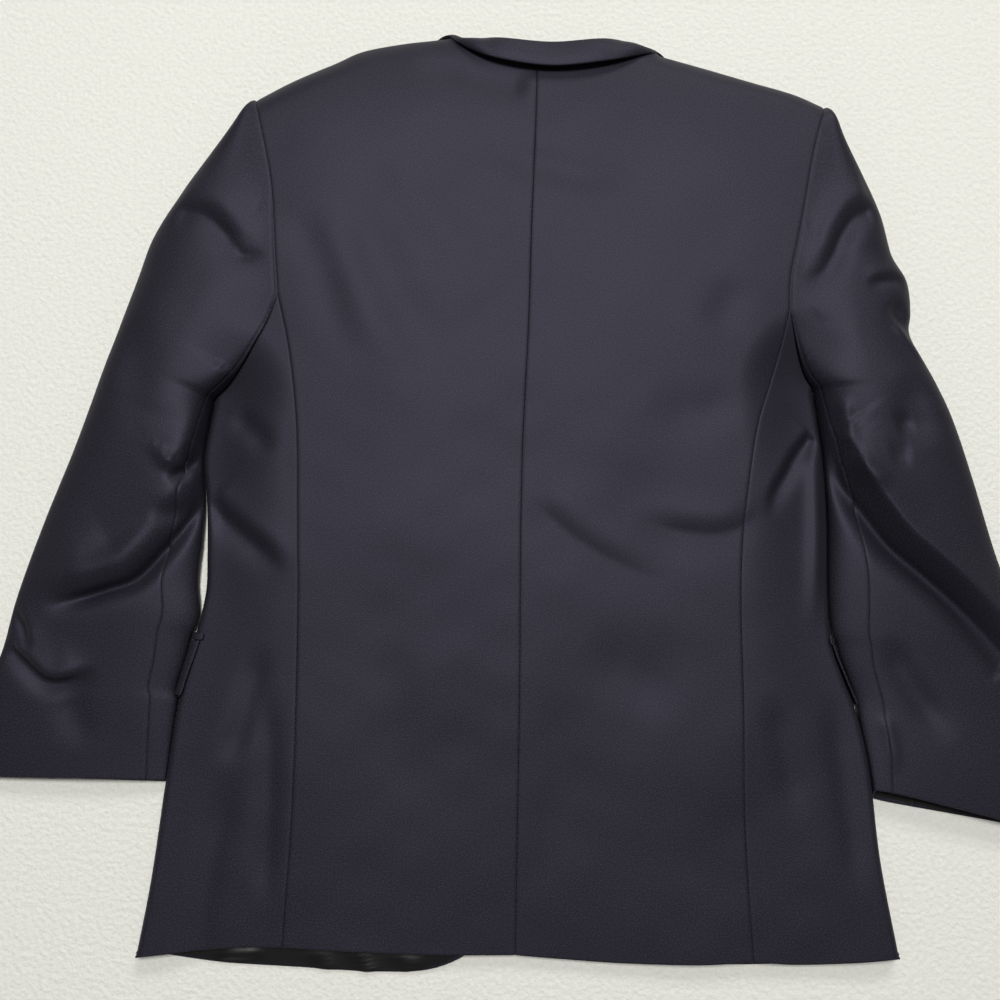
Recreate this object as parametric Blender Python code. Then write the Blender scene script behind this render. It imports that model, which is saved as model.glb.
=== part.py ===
"""A men's sport coat lying back up on a flat surface, as its sewn pieces.

+X is to the right as seen from above, +Y towards the collar, +Z up from the surface.
The origin is on the surface, under the middle of the coat. Tables and sizes are in
millimetres, and each piece becomes a mesh in metres. Cloth is a closed wall: an outer
face worked out from seam lines, folds and heights, and an inner face one cloth below.
"""

import math

import bpy
import numpy as np

MM = 0.001
CLOTH = 2.0            # wall of one piece: outer cloth, interlining and lining together
SEAM = 0.34            # space left between neighbouring pieces
LAYER = CLOTH + SEAM   # step from one layer to the next

# ---- seam lines and edges, seen from above (x, y) ------------------------------------
CENTRE_SEAM = ((24, 373), (21, 288), (18, 216), (15, 129), (10, 30), (8, -67), (7, -181), (3, -382))

LEFT = {
    "side": -1,
    "shoulder": ((-222, 337), (-192, 355), (-154, 374), (-133, 385), (-98, 393), (-56, 398)),
    "armhole": ((-222, 337), (-213, 300), (-204, 254), (-201, 219), (-199, 185), (-197, 158)),
    "underarm": ((-197, 158), (-206, 134), (-221, 108), (-240, 84), (-255, 71)),
    "side_seam": ((-197, 158), (-187, 110), (-180, 50), (-178, -17), (-176, -100), (-177, -260),
                  (-183, -376)),
    "fold": ((-255, 71), (-259, 45), (-262, 19), (-258, -20), (-256, -66), (-256, -92),
             (-264, -133), (-275, -182), (-283, -250), (-291, -325), (-300, -383)),
    "front_armhole": ((-222, 337), (-196, 280), (-188, 220), (-200, 150)),
    "notch_y": 300,
    "flap_y": (-133, -178), "flap_back": (11, 10), "flap_slack": 2.0,
    "hem": ((-300, -383), (-257, -379), (-216, -376), (-183, -376)),
    "back_hem": ((-183, -376), (-105, -380), (-49, -382), (3, -382)),
    "back_neck": ((-56, 398), (-40, 389), (-20, 380), (2, 375), (24, 373)),
    "roll_line": ((-56, 398), (-20, 222), (14, 46), (32, -55)),
    "front_edge": ((32, -55), (32, -150), (30, -240), (22, -300), (3, -345), (-20, -372),
                   (-40, -388), (-62, -396)),
    "front_hem": ((-288, -384), (-234, -389), (-170, -393), (-105, -396), (-62, -396)),
    "sleeve_outer": ((-222, 337), (-229, 329), (-241, 313), (-265, 283), (-289, 249), (-311, 213),
                     (-323, 177), (-346, 105), (-368, 36), (-393, -33), (-414, -100), (-423, -140),
                     (-433, -170), (-438, -243)),
    "clearance": ((71, 0.1), (60, 0.8), (0, 1.0), (-40, 3.0), (-80, 6.0), (-104, 3.6), (-118, 4.0),
                  (-186, 4.6), (-210, 1.5), (-246, 1.2)),
    "cuff": (-284, -245), "mouth": 3, "cuff_rise": 0,
}

RIGHT = {
    "side": 1,
    "shoulder": ((274, 330), (250, 342), (211, 355), (170, 369), (133, 381)),
    "armhole": ((274, 330), (266, 308), (258, 278), (250, 236), (243, 202), (237, 173), (236, 145)),
    "underarm": ((236, 145), (240, 127), (246, 107), (253, 90), (261, 79)),
    "side_seam": ((236, 145), (229, 110), (221, 84), (209, 50), (199, -1), (192, -60), (190, -110),
                  (190, -181), (189, -261), (190, -323), (193, -387)),
    "fold": ((261, 79), (264, 50), (267, 19), (268, -32), (266, -99), (268, -137), (276, -165),
             (285, -191), (293, -230), (299, -309), (310, -384)),
    "front_armhole": ((274, 330), (238, 285), (226, 220), (228, 160)),
    "notch_y": 284,
    "flap_y": (-137, -186), "flap_back": (6, 2), "flap_slack": 1.5,
    "hem": ((310, -384), (278, -387), (230, -389), (193, -387)),
    "back_hem": ((193, -387), (151, -389), (87, -388), (39, -385), (3, -382)),
    "back_neck": ((133, 381), (110, 380), (80, 376), (50, 373), (24, 373)),
    "roll_line": ((133, 381), (75, 205), (17, 28), (-12, -55)),
    "front_edge": ((-12, -55), (-12, -150), (-10, -240), (-2, -300), (18, -345), (42, -370),
                   (62, -383), (84, -389)),
    "front_hem": ((298, -385), (230, -390), (151, -391), (84, -389)),
    "sleeve_outer": ((274, 330), (281, 321), (291, 298), (307, 266), (322, 231), (331, 195),
                     (343, 173), (345, 145), (343, 127), (362, 87), (376, 53), (391, 1),
                     (408, -66), (422, -108), (433, -165), (438, -230), (438, -287)),
    "clearance": ((79, 0.1), (68, 0.8), (0, 1.2), (-104, 1.8), (-122, 3.6), (-150, 9.0), (-186, 9.0),
                  (-206, 3.0), (-256, 1.2)),
    "cuff": (296, -247), "mouth": 15, "cuff_rise": 5,
}

# ---- heights of the upper layer above the surface ---------------------------------------
BACK_HEIGHT = (
    # y, at the centre seam, towards the sides
    (400, 35, 32), (340, 40, 46), (280, 38, 48), (200, 33, 42), (120, 28, 34), (40, 24, 27),
    (-60, 20, 22), (-180, 15, 18), (-300, 11, 13), (-390, 9, 11),
)
SIDE_SPREAD = 200      # the side height is reached this far from the centre seam
FOLD_RADIUS = 6.5      # the body turns under at its side edges round this radius
FOLD_RISE = 70         # from a side edge the back rises to full height over this width
RIDGE_HEIGHT = 22      # the shoulder seam's height, on the padded shoulder's end
RIDGE_BACK = 26        # how far the shoulder rounds off towards the back
RIDGE_FRONT = 22       # and towards the front

SLEEVE_HEIGHT = (
    # share of the sleeve's length, crown height, outer edge height, inner edge height
    (0.00, 46, 22, 6.5), (0.10, 46, 18, 6.5), (0.25, 43, 14, 6.5), (0.42, 41, 12, 6.5), (0.48, 38, 12, 10),
    (0.58, 31, 11, 10), (0.75, 21, 9, 8), (0.92, 15, 7, 7), (1.00, 14, 7, 7),
)
BACK_ARM, UNDERARM = 0.29, 0.42   # the sleeve leaves the back's armhole, and the body, at these shares
SLEEVE_JOIN = (0.02, 0.16)        # between these it takes over from the armhole's height
CROWN_POWER = 2.4      # roundness of the sleeve's upper side, and of its flat lower side
SOLE_POWER = 7.0
TOUCH = 1e-6           # keeps a turn on one side of the sleeve's inner edge

# ---- folds of the upper layer -------------------------------------------------------------
FOLDS = {
    # name: path on the plan, then one value for each column of FOLD_COLUMNS
    "left_armpit": (((-222, 116), (-240, 82), (-262, 40), (-284, 12), (-300, -4)), -15, 5, 20, 26),
    "left_elbow": (((-236, 22), (-257, -6), (-290, -53), (-338, -86), (-404, -106)), -15, 6, 38, 30),
    "left_cap": (((-318, 256), (-275, 238), (-232, 205), (-200, 192)), -9, -9, 20, 20),
    "left_forearm": (((-440, -128), (-410, -148), (-378, -166), (-340, -168)), 4, -6, 16, 18),
    "right_elbow": (((246, 66), (262, 36), (311, -43), (351, -80), (401, -116), (440, -134)),
                    7, -17, 34, 42),
    "right_cap": (((326, 254), (300, 226), (268, 196), (236, 172)), -10, -10, 20, 20),
    "back_left_drape": (((-184, 246), (-168, 176), (-136, 110), (-96, 48)), -3.5, -3.5, 24, 24),
    "back_mid_drape": (((-150, 280), (-116, 200), (-80, 124), (-44, 60)), -3.5, -3.5, 22, 22),
    "back_neck_drape": (((-40, 316), (10, 292), (60, 284), (116, 262)), -3, -3, 16, 16),
    "right_waist": (((110, -28), (150, -34), (190, -30), (224, 6), (258, 58)), -4, -4, 18, 18),
    "centre_drape": (((22, 8), (60, -24), (104, -56), (134, -72)), -2.5, -2.5, 18, 18),
    "left_side_drape": (((-252, 2), (-226, -38), (-192, -66), (-160, -78)), -4, -4, 18, 18),
}
FOLD_COLUMNS = ("left", "right", "left_width", "right_width")   # heights on the path's two sides

# ---- the layers underneath -----------------------------------------------------------------
LAPEL_FOOT_Y = 48      # the lapel runs out here, above the fastening
LAPEL_WIDTH = 84
FLAP_LENGTH = 150
FLAP_LAYER = LAYER + 0.6
WELT_DEPTH = 6
BUTTON_RADIUS, BUTTON_HEIGHT = 10, 3.2
BUTTONS = ((10, -75), (10, -178))

COLLAR = (
    # station, outer edge (x, y, z), roll (x, y, z), crown above the straight line
    ("left_notch", (-98, 316, 0), (-38, 306, 0), 0),
    ("left_leg", (-108, 348, 0), (-44, 346, 0), 0),
    ("left_lie", (-107, 374, 0), (-49, 376, 0), 0),
    ("left_turn", (-84, 392, 5.5), (-52, 398, 5), 0),
    ("left_ridge", (-59, 401.5, 23), (-46, 403, 17), 3),
    ("left_rise", (-46, 386, 38), (-39, 397, 21), 7.5),
    ("left_top", (-35, 377, 41), (-31, 396, 26), 9),
    ("left_back", (-15, 367, 44), (-12, 388, 43), 4),
    ("centre_back", (35, 359, 43), (36, 384, 43), 5),
    ("right_back", (86, 364, 44), (84, 387, 43), 5),
    ("right_top", (113, 372, 40), (105, 392, 27), 8),
    ("right_rise", (125, 378, 35), (114, 390, 22), 6),
    ("right_ridge", (134.5, 384, 23), (123, 389, 17), 3),
    ("right_turn", (160, 369, 5), (130, 381, 5), 0),
    ("right_lie", (182, 354, 0), (126, 361, 0), 0),
    ("right_leg", (176, 328, 0), (116, 334, 0), 0),
    ("right_notch", (160, 298, 0), (104, 294, 0), 0),
)
COLLAR_STAND_TOP = ((-30, 388, 39), (-12, 386, 42), (36, 383, 43), (84, 385, 42), (108, 384, 39))


# ---- lines and patches -------------------------------------------------------------------
def by_station(points):
    """A smooth line through the given points: its shares, even from one given point to the next, and its points."""
    p = np.array(points, float)
    if len(p) < 3:
        return np.linspace(0, 1, 240), p[0] + np.linspace(0, 1, 240)[:, None] * (p[-1] - p[0])
    ends = np.vstack([2 * p[0] - p[1], p, 2 * p[-1] - p[-2]])
    knots = np.concatenate([[0], np.cumsum(np.linalg.norm(np.diff(ends, axis=0), axis=1) ** 0.5)])
    pieces = []
    for i in range(1, len(ends) - 2):
        k, q = knots[i - 1:i + 3], ends[i - 1:i + 3]
        t = np.linspace(k[1], k[2], 40, endpoint=False)[:, None]
        a = [((k[j + 1] - t) * q[j] + (t - k[j]) * q[j + 1]) / (k[j + 1] - k[j]) for j in range(3)]
        b = [((k[j + 2] - t) * a[j] + (t - k[j]) * a[j + 1]) / (k[j + 2] - k[j]) for j in range(2)]
        pieces.append(((k[2] - t) * b[0] + (t - k[1]) * b[1]) / (k[2] - k[1]))
    dense = np.vstack(pieces + [p[-1:]])
    return np.linspace(0, 1, len(dense)), dense


def smooth_line(points, samples=240):
    """Points close together on a smooth line through the given ones, evenly spaced."""
    dense = by_station(points)[1]
    reach = np.concatenate([[0], np.cumsum(np.linalg.norm(np.diff(dense, axis=0), axis=1))])
    even = np.linspace(0, reach[-1], samples)
    return np.stack([np.interp(even, reach, c) for c in dense.T], axis=1)


def joined(*parts):
    """One line made of several that meet end to end, each smooth in itself, and the shares where they meet."""
    lines = [smooth_line(p) for p in parts]
    lengths = [np.linalg.norm(np.diff(line, axis=0), axis=1).sum() for line in lines]
    whole = np.vstack([lines[0]] + [line[1:] for line in lines[1:]])
    reach = np.concatenate([[0], np.cumsum(np.linalg.norm(np.diff(whole, axis=0), axis=1))])
    return (reach / reach[-1], whole), list(np.cumsum(lengths) / sum(lengths))[:-1]


def along(line, t):
    """The point at the share t of a line's length."""
    share, p = line if isinstance(line, tuple) else (np.linspace(0, 1, len(line)), line)
    return np.stack([np.interp(t, share, c) for c in p.T], axis=-1)


def coons(top, bottom, left, right, u, v):
    """A patch between four lines that share their corners: u runs left to right, v top to bottom."""
    u, v = np.broadcast_arrays(np.asarray(u, float), np.asarray(v, float))
    a, b, c, d = along(top, u), along(bottom, u), along(left, v), along(right, v)
    corner = [along(line, np.array(t)) for line, t in ((top, 0.0), (top, 1.0), (bottom, 0.0), (bottom, 1.0))]
    u, v = u[..., None], v[..., None]
    mixed = (1 - v) * ((1 - u) * corner[0] + u * corner[1]) + v * ((1 - u) * corner[2] + u * corner[3])
    return (1 - v) * a + v * b + (1 - u) * c + u * d - mixed


def ease(t):
    t = np.clip(t, 0, 1)
    return t * t * (3 - 2 * t)


def arch(t):
    """Quarter of a circle: upright at 0, level from 1 on."""
    return np.sqrt(1 - (1 - np.clip(t, 0, 1)) ** 2)


def column(rows, y, index):
    """A table's column at y, smooth between its rows. The first column holds y."""
    line = smooth_line([(row[0], row[index]) for row in rows], 400)
    if line[0, 0] > line[-1, 0]:
        line = line[::-1]
    return np.interp(y, line[:, 0], line[:, 1])


def near(line, xy):
    """Distance from each point to a line, the share of the line's length there, and the side: +1 is left."""
    line = line[::2]
    flat = xy.reshape(-1, 2)
    best = np.empty(len(flat), int)
    for i in range(0, len(flat), 20000):
        gap = flat[i:i + 20000, None, :] - line[None]
        best[i:i + 20000] = (gap ** 2).sum(2).argmin(1)
    before, after = np.maximum(best - 1, 0), np.minimum(best + 1, len(line) - 1)
    run = line[after] - line[before]
    run /= np.linalg.norm(run, axis=1)[:, None]
    gap = flat - line[best]
    ahead = (gap * run).sum(1)
    inside = (best > 0) & (best < len(line) - 1)
    across = run[:, 0] * gap[:, 1] - run[:, 1] * gap[:, 0]
    dist = np.where(inside, np.abs(across), np.hypot(ahead, across))
    share = best / (len(line) - 1)
    shape = xy.shape[:-1]
    return dist.reshape(shape), share.reshape(shape), np.sign(across).reshape(shape)


# ---- heights --------------------------------------------------------------------------------
SIDES = (LEFT, RIGHT)
FOLD_LINES = [smooth_line(s["fold"]) for s in SIDES]
SHOULDER_LINES = [smooth_line(s["shoulder"]) for s in SIDES]
FOLD_PATHS = {name: smooth_line(fold[0], 120) for name, fold in FOLDS.items()}


def folds_at(xy, names):
    """Height that the named folds add, each with its own height and width on its path's two sides."""
    total = np.zeros(xy.shape[:-1])
    for name in names:
        shape = dict(zip(FOLD_COLUMNS, FOLDS[name][1:]))
        dist, share, side = near(FOLD_PATHS[name], xy)
        strength = np.sin(np.pi * share) ** 0.7
        left = shape["left"] * np.exp(-(dist / shape["left_width"]) ** 2)
        right = shape["right"] * np.exp(-(dist / shape["right_width"]) ** 2)
        swing = np.tanh(side * dist / 5.0)
        total += strength * (left * (1 + swing) + right * (1 - swing)) / 2
    return total


BACK_FOLDS = [n for n in FOLDS if "drape" in n or "waist" in n]


def side_distance(xy):
    return np.minimum(*(near(line, xy)[0] for line in FOLD_LINES))


def ridge_distance(xy):
    return np.minimum(*(near(line, xy)[0] for line in SHOULDER_LINES))


def back_height(xy):
    """Outer face of the back and side pieces on the upper side."""
    x, y = xy[..., 0], xy[..., 1]
    off_centre = ease(np.abs(x - 12) / SIDE_SPREAD)
    full = column(BACK_HEIGHT, y, 1) * (1 - off_centre) + column(BACK_HEIGHT, y, 2) * off_centre
    d_fold, d_ridge = side_distance(xy), ridge_distance(xy)
    z = FOLD_RADIUS * (1 + arch(d_fold / FOLD_RADIUS))
    z = z + (full + folds_at(xy, BACK_FOLDS) - 2 * FOLD_RADIUS) * ease(d_fold / FOLD_RISE)
    return RIDGE_HEIGHT + (z - RIDGE_HEIGHT) * arch(d_ridge / RIDGE_BACK)


def pad(x, y, x0, x1, y0, y1, soft):
    """1 inside a rectangle on the plan, fading to 0 over the soft width around it."""
    return (ease((x - x0 + soft) / soft) * ease((x1 + soft - x) / soft)
            * ease((y - y0 + soft) / soft) * ease((y1 + soft - y) / soft))


def lift(xy, s):
    """How far the layers below raise a front's outer face: the lapel, the flap, the buttons and the other front."""
    x, y = xy[..., 0], xy[..., 1]
    d_roll, _, _ = near(smooth_line(s["roll_line"]), xy)
    lapel = ease((LAPEL_WIDTH + 90 - d_roll) / 40) * ease((y - LAPEL_FOOT_Y + 80) / 40)
    flap = pad(x * s["side"], y, 285 - FLAP_LENGTH - 50, 1000, -216, -96, 40)
    closing = pad(x, y, -50, 70, -360, 40, 55)
    under = np.maximum(np.maximum(LAYER * lapel, FLAP_LAYER * flap), (BUTTON_HEIGHT + SEAM) * closing)
    return under + (LAYER * closing if s["side"] > 0 else 0)


def front_height(xy, s):
    """Outer face of a front, which looks down: level where it rests, rising round the body's edges."""
    d_fold, d_ridge = side_distance(xy), ridge_distance(xy)
    z = FOLD_RADIUS * (1 - arch(d_fold / FOLD_RADIUS))
    z = z + lift(xy, s) * arch((d_fold - 2) / 6)
    return z + (RIDGE_HEIGHT - z) * (1 - arch(d_ridge / RIDGE_FRONT))


# ---- surfaces of the pieces: each takes shares (u, v) and gives points in mm ------------------
def with_height(xy, z):
    return np.concatenate([xy, z[..., None]], axis=-1)


def back_piece(s):
    top, (neck,) = joined(s["shoulder"], s["back_neck"])
    left, (arm,) = joined(s["armhole"], s["side_seam"])
    bottom, right = smooth_line(s["back_hem"]), smooth_line(CENTRE_SEAM)

    def surface(u, v):
        xy = coons(top, bottom, left, right, u, v)
        return with_height(xy, back_height(xy))
    return surface, neck, arm


def side_width(s):
    """Plan of the side piece's upper part, from the side seam (u 0) to the body's edge (u 1)."""
    top, bottom = smooth_line(s["underarm"]), smooth_line(s["hem"])[::-1]
    left, right = smooth_line(s["side_seam"]), smooth_line(s["fold"])

    def plan(u, v):
        return coons(top, bottom, left, right, u, v)

    def width(v):
        return np.linalg.norm(plan(np.zeros_like(v), v) - plan(np.ones_like(v), v), axis=-1)
    return plan, width


FRONT_SEAM_IN = 12.0   # the seam to the front lies this far in, on the underside


def side_piece(s):
    """u 0 is the side seam, 0.6 to 0.9 turns round the body's edge, 1 is the front seam underneath."""
    plan, width = side_width(s)
    r = FOLD_RADIUS

    def surface(u, v):
        u, v = np.broadcast_arrays(np.asarray(u, float), np.asarray(v, float))
        w = width(v)
        turn = np.pi * (np.clip((u - 0.6) / 0.3, 0, 1) - 0.5)       # -90 to 90 degrees
        d_turn = r * (1 - np.cos(turn))
        d_top = r + (w - r) * (1 - np.clip(u / 0.6, 0, 1))
        d_under = r + (FRONT_SEAM_IN - r) * np.clip((u - 0.9) / 0.1, 0, 1)
        d = np.where(u < 0.6, d_top, np.where(u > 0.9, d_under, d_turn))
        xy = plan(1 - d / w, v)
        upper = back_height(xy)
        under = lift(xy, s) * arch((d - 2) / 6)
        round_end = r * (1 - np.sin(turn))
        z = np.where(u < 0.75, upper, round_end + under)
        return with_height(xy, z)
    return surface


def underarm_end(s):
    """The last stretch of the underarm line, which the side piece also follows on the underside."""
    line = smooth_line(s["underarm"])
    width = np.linalg.norm(line[-1] - line[0])
    return along(line, np.linspace(1 - FRONT_SEAM_IN / width, 1, 13))


def front_seam(s):
    plan, width = side_width(s)
    v = np.linspace(0, 1, 240)
    return plan(1 - FRONT_SEAM_IN / width(v), v)


def front_arm(s):
    """The front's armhole, from the shoulder to the seam under the arm."""
    return list(s["front_armhole"]) + [tuple(front_seam(s)[0])]


def lengths(line):
    return np.concatenate([[0], np.cumsum(np.linalg.norm(np.diff(line, axis=0), axis=1))])


def front_piece(s):
    """u 0 is the armhole and front seam, u 1 the roll line and front edge."""
    arm, seam = smooth_line(front_arm(s)), front_seam(s)
    whole = np.vstack([arm, seam[1:]])
    reach = lengths(whole)
    left = (reach / reach[-1], whole)
    right, (break_share,) = joined(s["roll_line"], s["front_edge"])
    hem = smooth_line([tuple(seam[-1])] + list(s["front_hem"][1:]))
    top = smooth_line(s["shoulder"])
    arm_share = lengths(arm)[-1] / reach[-1]

    def surface(u, v):
        xy = coons(top, hem, left, right, u, v)
        return with_height(xy, front_height(xy, s))

    def row_at(v):
        """The front's row that meets the side piece's row v."""
        done = lengths(seam)
        return arm_share + (1 - arm_share) * np.interp(v, np.linspace(0, 1, len(seam)), done) / done[-1]
    return surface, arm_share, row_at


def sleeve_inner(s):
    """The sleeve's edge beside the body, clear of the body's own edge."""
    fold = smooth_line(s["fold"])
    y = np.linspace(s["fold"][0][1], s["cuff"][1], 240)
    x = np.interp(-y, -fold[:, 1], fold[:, 0]) + s["side"] * column(s["clearance"], y, 1)
    return np.stack([x, y], axis=1)


def stitched(lines, shares):
    """One line of several, each of which takes up a stretch of the shares."""
    share = [np.linspace(a, b, len(line)) for line, a, b in zip(lines, shares, shares[1:])]
    keep = [slice(None)] + [slice(1, None)] * (len(lines) - 1)
    return (np.concatenate([t[k] for t, k in zip(share, keep)]),
            np.vstack([line[k] for line, k in zip(lines, keep)]))


def front_arm_share(s):
    """The sleeve leaves the front's armhole here, so that its rows meet the side piece alike above and below."""
    line = smooth_line(s["underarm"])
    return UNDERARM - (UNDERARM - BACK_ARM) * FRONT_SEAM_IN / np.linalg.norm(line[-1] - line[0])


def bulge(t, power):
    """0 at the ends of 0 to 1, 1 in the middle, upright at the ends."""
    return (1 - np.abs(1 - 2 * t) ** power) ** (1 / power)


def sleeve_tube(s):
    """The sleeve: turn 0 is its outer edge, 0 to 0.5 its upper side, 0.5 its inner edge or the armhole."""
    inner = sleeve_inner(s)
    upper = stitched([smooth_line(s["armhole"]), smooth_line(s["underarm"]), inner],
                     (0, BACK_ARM, UNDERARM, 1))
    lower = stitched([smooth_line(front_arm(s)), underarm_end(s), inner],
                     (0, front_arm_share(s), UNDERARM, 1))
    outer = smooth_line(s["sleeve_outer"])
    names = [n for n in FOLDS if n.startswith("left" if s["side"] < 0 else "right")
             and n not in BACK_FOLDS]

    def surface(turn, share):
        turn, share = np.broadcast_arrays(np.asarray(turn, float), np.asarray(share, float))
        share = np.clip(share, 0, 1)
        theta = 2 * np.pi * turn
        w = ((1 - np.cos(theta)) / 2)
        is_upper = np.sin(theta) >= 0
        out, up, low = along(outer, share), along(upper, share), along(lower, share)
        xy_up = out + (up - out) * w[..., None]
        xy_low = out + (low - out) * w[..., None]
        crown, out_z, in_z = (column(SLEEVE_HEIGHT, share, i) for i in (1, 2, 3))
        rise = s["cuff_rise"] * ease((share - 0.85) / 0.15)
        crown, in_z = crown + rise, in_z + rise
        on_body = share <= UNDERARM
        end_up = np.where(on_body, back_height(up), in_z)
        end_low = np.where(on_body, front_height(low, s), in_z)
        join = ease((share - SLEEVE_JOIN[0]) / (SLEEVE_JOIN[1] - SLEEVE_JOIN[0]))
        crown = end_up + (crown - end_up) * join
        sole = end_low * (1 - join)
        foot_up = np.where(w < 0.5, out_z, end_up)
        foot_low = np.where(w < 0.5, out_z, end_low)
        top = crown + folds_at(xy_up, names) * join
        level = ease((UNDERARM - share) / (UNDERARM - BACK_ARM)) * (w > 0.5)
        profile = bulge(w, CROWN_POWER) * (1 - level) + ease(2 * (1 - w)) * level
        z_up = foot_up + (top - foot_up) * profile
        z_low = foot_low + (sole - foot_low) * bulge(w, SOLE_POWER)
        mouth = s["mouth"] * ease((share - 0.85) / 0.15) * w
        xy_up = xy_up - np.stack([0 * w, mouth * np.clip(1 - z_up / (2 * in_z), 0, 1)], axis=-1)
        xy_low = xy_low - np.stack([0 * w, mouth * np.clip(1 - z_low / (2 * in_z), 0, 1)], axis=-1)
        return with_height(np.where(is_upper[..., None], xy_up, xy_low),
                           np.where(is_upper, z_up, z_low))
    return surface


# Shares of the sleeve's width, from its outer edge: the hind seam runs on the upper side, the fore seam below.
HIND_SEAM = ((0.148, 1.0), (0.175, 0.94), (0.21, 0.92), (0.30, 0.91), (0.42, 0.91), (0.50, 0.87), (0.58, 0.82),
             (0.70, 0.81), (0.85, 0.86), (1.00, 0.90))
FORE_SEAM = ((0.42, 1.0), (0.45, 0.985), (0.52, 0.90), (0.60, 0.84), (0.75, 0.78), (1.00, 0.75))


def seam_turn(rows, share):
    w = np.interp(share, *np.array(smooth_line(rows)).T)
    return np.arccos(1 - 2 * np.clip(w, 0, 1)) / (2 * np.pi)


def sleeve_piece(s, part):
    """part "top" goes round from the fore seam over the outer edge to the hind seam, "under" fills the rest."""
    tube = sleeve_tube(s)

    def surface(u, v):
        hind = np.minimum(seam_turn(HIND_SEAM, v), 0.5 - TOUCH)
        fore = 1 - seam_turn(FORE_SEAM, v)
        if part == "under":
            first, last = hind, np.where(v <= UNDERARM, 0.5 - TOUCH, np.maximum(fore, 0.5 - TOUCH))
        else:
            first, last = np.maximum(fore, 0.5 + TOUCH), 1 + hind
        return tube((first + (last - first) * u) % 1.0, v)
    return surface


def collar_fall():
    """u runs from notch to notch, v from the fall's outer edge over its crown to the roll."""
    edge = by_station([row[1] for row in COLLAR])
    roll = by_station([row[2] for row in COLLAR])
    crown = by_station([(i, row[3]) for i, row in enumerate(COLLAR)])

    def surface(u, v):
        e, r, rise = along(edge, u), along(roll, u), along(crown, u)[..., 1]
        mid = e + (r - e) * v[..., None]
        mid[..., 2] += rise * np.sin(np.pi * np.clip(v, 0, 1)) ** 0.8
        mid[..., 2] = np.maximum(mid[..., 2], 0)
        return mid
    return surface


def flap_surface(s, top_y, bottom_y, starts, length, lift_end):
    """A strip on the body's outside that runs from the upper side round the edge to the underside."""
    fold = smooth_line(s["fold"])
    r = FOLD_RADIUS
    quarter = r * math.pi / 2

    def surface(u, v):
        y = top_y + (bottom_y - top_y) * v
        start = starts[0] + (starts[1] - starts[0]) * v
        q = -start + (length + start) * u
        edge_x = np.interp(-y, -fold[:, 1], fold[:, 0])
        turn = np.clip(q / r, -math.pi / 2, math.pi / 2)
        d = r * (1 - np.cos(turn)) + np.maximum(np.abs(q) - quarter, 0)
        xy = np.stack([edge_x - s["side"] * d, y], axis=-1)
        upper = np.where(q < -quarter, back_height(xy), r * (1 - np.sin(turn)))
        under = lift(xy, s) * arch((d - 2) / 6) + r * (1 - np.sin(turn))
        z = np.where(q < 0, upper, under)
        slack = lift_end * v * np.clip(1 - u * 6, 0, 1) ** 1.5
        xy[..., 0] = xy[..., 0] + s["side"] * slack
        return with_height(xy, z + slack * 0.6)
    return surface


# ---- walls -------------------------------------------------------------------------------------
def normals(surface, u, v, flip):
    """Unit normals of a surface, from its own slopes."""
    e = 1e-3
    du = surface(np.minimum(u + e, 1), v) - surface(np.maximum(u - e, 0), v)
    dv = surface(u, np.minimum(v + e, 1)) - surface(u, np.maximum(v - e, 0))
    n = np.cross(du, dv)
    n /= np.maximum(np.linalg.norm(n, axis=-1, keepdims=True), 1e-12)
    return -n if flip else n


def draw_in(points, gap):
    """Moves each border of a grid of points inwards, along the cloth, by half the seam's gap."""
    p = points.copy()
    for edge, next_in in ((0, 1), (-1, -2)):
        step = points[edge] - points[next_in]
        p[edge] -= step * (gap / np.linalg.norm(step, axis=-1, keepdims=True))
    q = p.copy()
    for edge, next_in in ((0, 1), (-1, -2)):
        step = p[:, edge] - p[:, next_in]
        q[:, edge] -= step * (gap / np.linalg.norm(step, axis=-1, keepdims=True))
    return q


def wall(name, surface, us, vs, material, flip=False, thick=CLOTH, offset=0.0, gap=SEAM / 2, bevel=0.35):
    """A closed wall: the surface's grid, a second one the cloth's thickness inside, and a rim."""
    u, v = np.meshgrid(np.asarray(us, float), np.asarray(vs, float))
    n = normals(surface, u, v, flip)
    steep = np.abs(n[0, :, 2]) < 0.5
    n[0, steep, 2] = 0
    n /= np.linalg.norm(n, axis=-1, keepdims=True)
    face = surface(u, v) + n * offset
    outer = draw_in(face, gap)
    inner = draw_in(face, gap + (bevel if gap else 0)) - n * thick
    outer[..., 2] = np.maximum(outer[..., 2], 0)
    rows, cols = u.shape
    points = np.concatenate([outer.reshape(-1, 3), inner.reshape(-1, 3)]) * MM
    count = rows * cols
    faces = []
    for i in range(rows - 1):
        for j in range(cols - 1):
            a, b = i * cols + j, i * cols + j + 1
            c, d = a + cols, b + cols
            faces.append((a, b, d, c))
            faces.append((a + count, c + count, d + count, b + count))
    ring = ([(0, j) for j in range(cols)] + [(i, cols - 1) for i in range(1, rows)]
            + [(rows - 1, j) for j in range(cols - 2, -1, -1)] + [(i, 0) for i in range(rows - 2, 0, -1)])
    ids = [i * cols + j for i, j in ring]
    for a, b in zip(ids, ids[1:] + ids[:1]):
        faces.append((b, a, a + count, b + count))
    if flip:
        faces = [f[::-1] for f in faces]
    mesh = bpy.data.meshes.new(name)
    mesh.from_pydata(points.tolist(), [], faces)
    mesh.update()
    return place(name, mesh, material)


def place(name, mesh, material):
    piece = bpy.data.objects.new(name, mesh)
    bpy.context.scene.collection.objects.link(piece)
    mesh.materials.append(material)
    mesh.shade_smooth()
    return piece


def cloth(name, colour, roughness):
    made = bpy.data.materials.new(name)
    made.use_nodes = True
    shader = made.node_tree.nodes["Principled BSDF"]
    shader.inputs["Base Color"].default_value = (*colour, 1)
    shader.inputs["Roughness"].default_value = roughness
    return made


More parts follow.
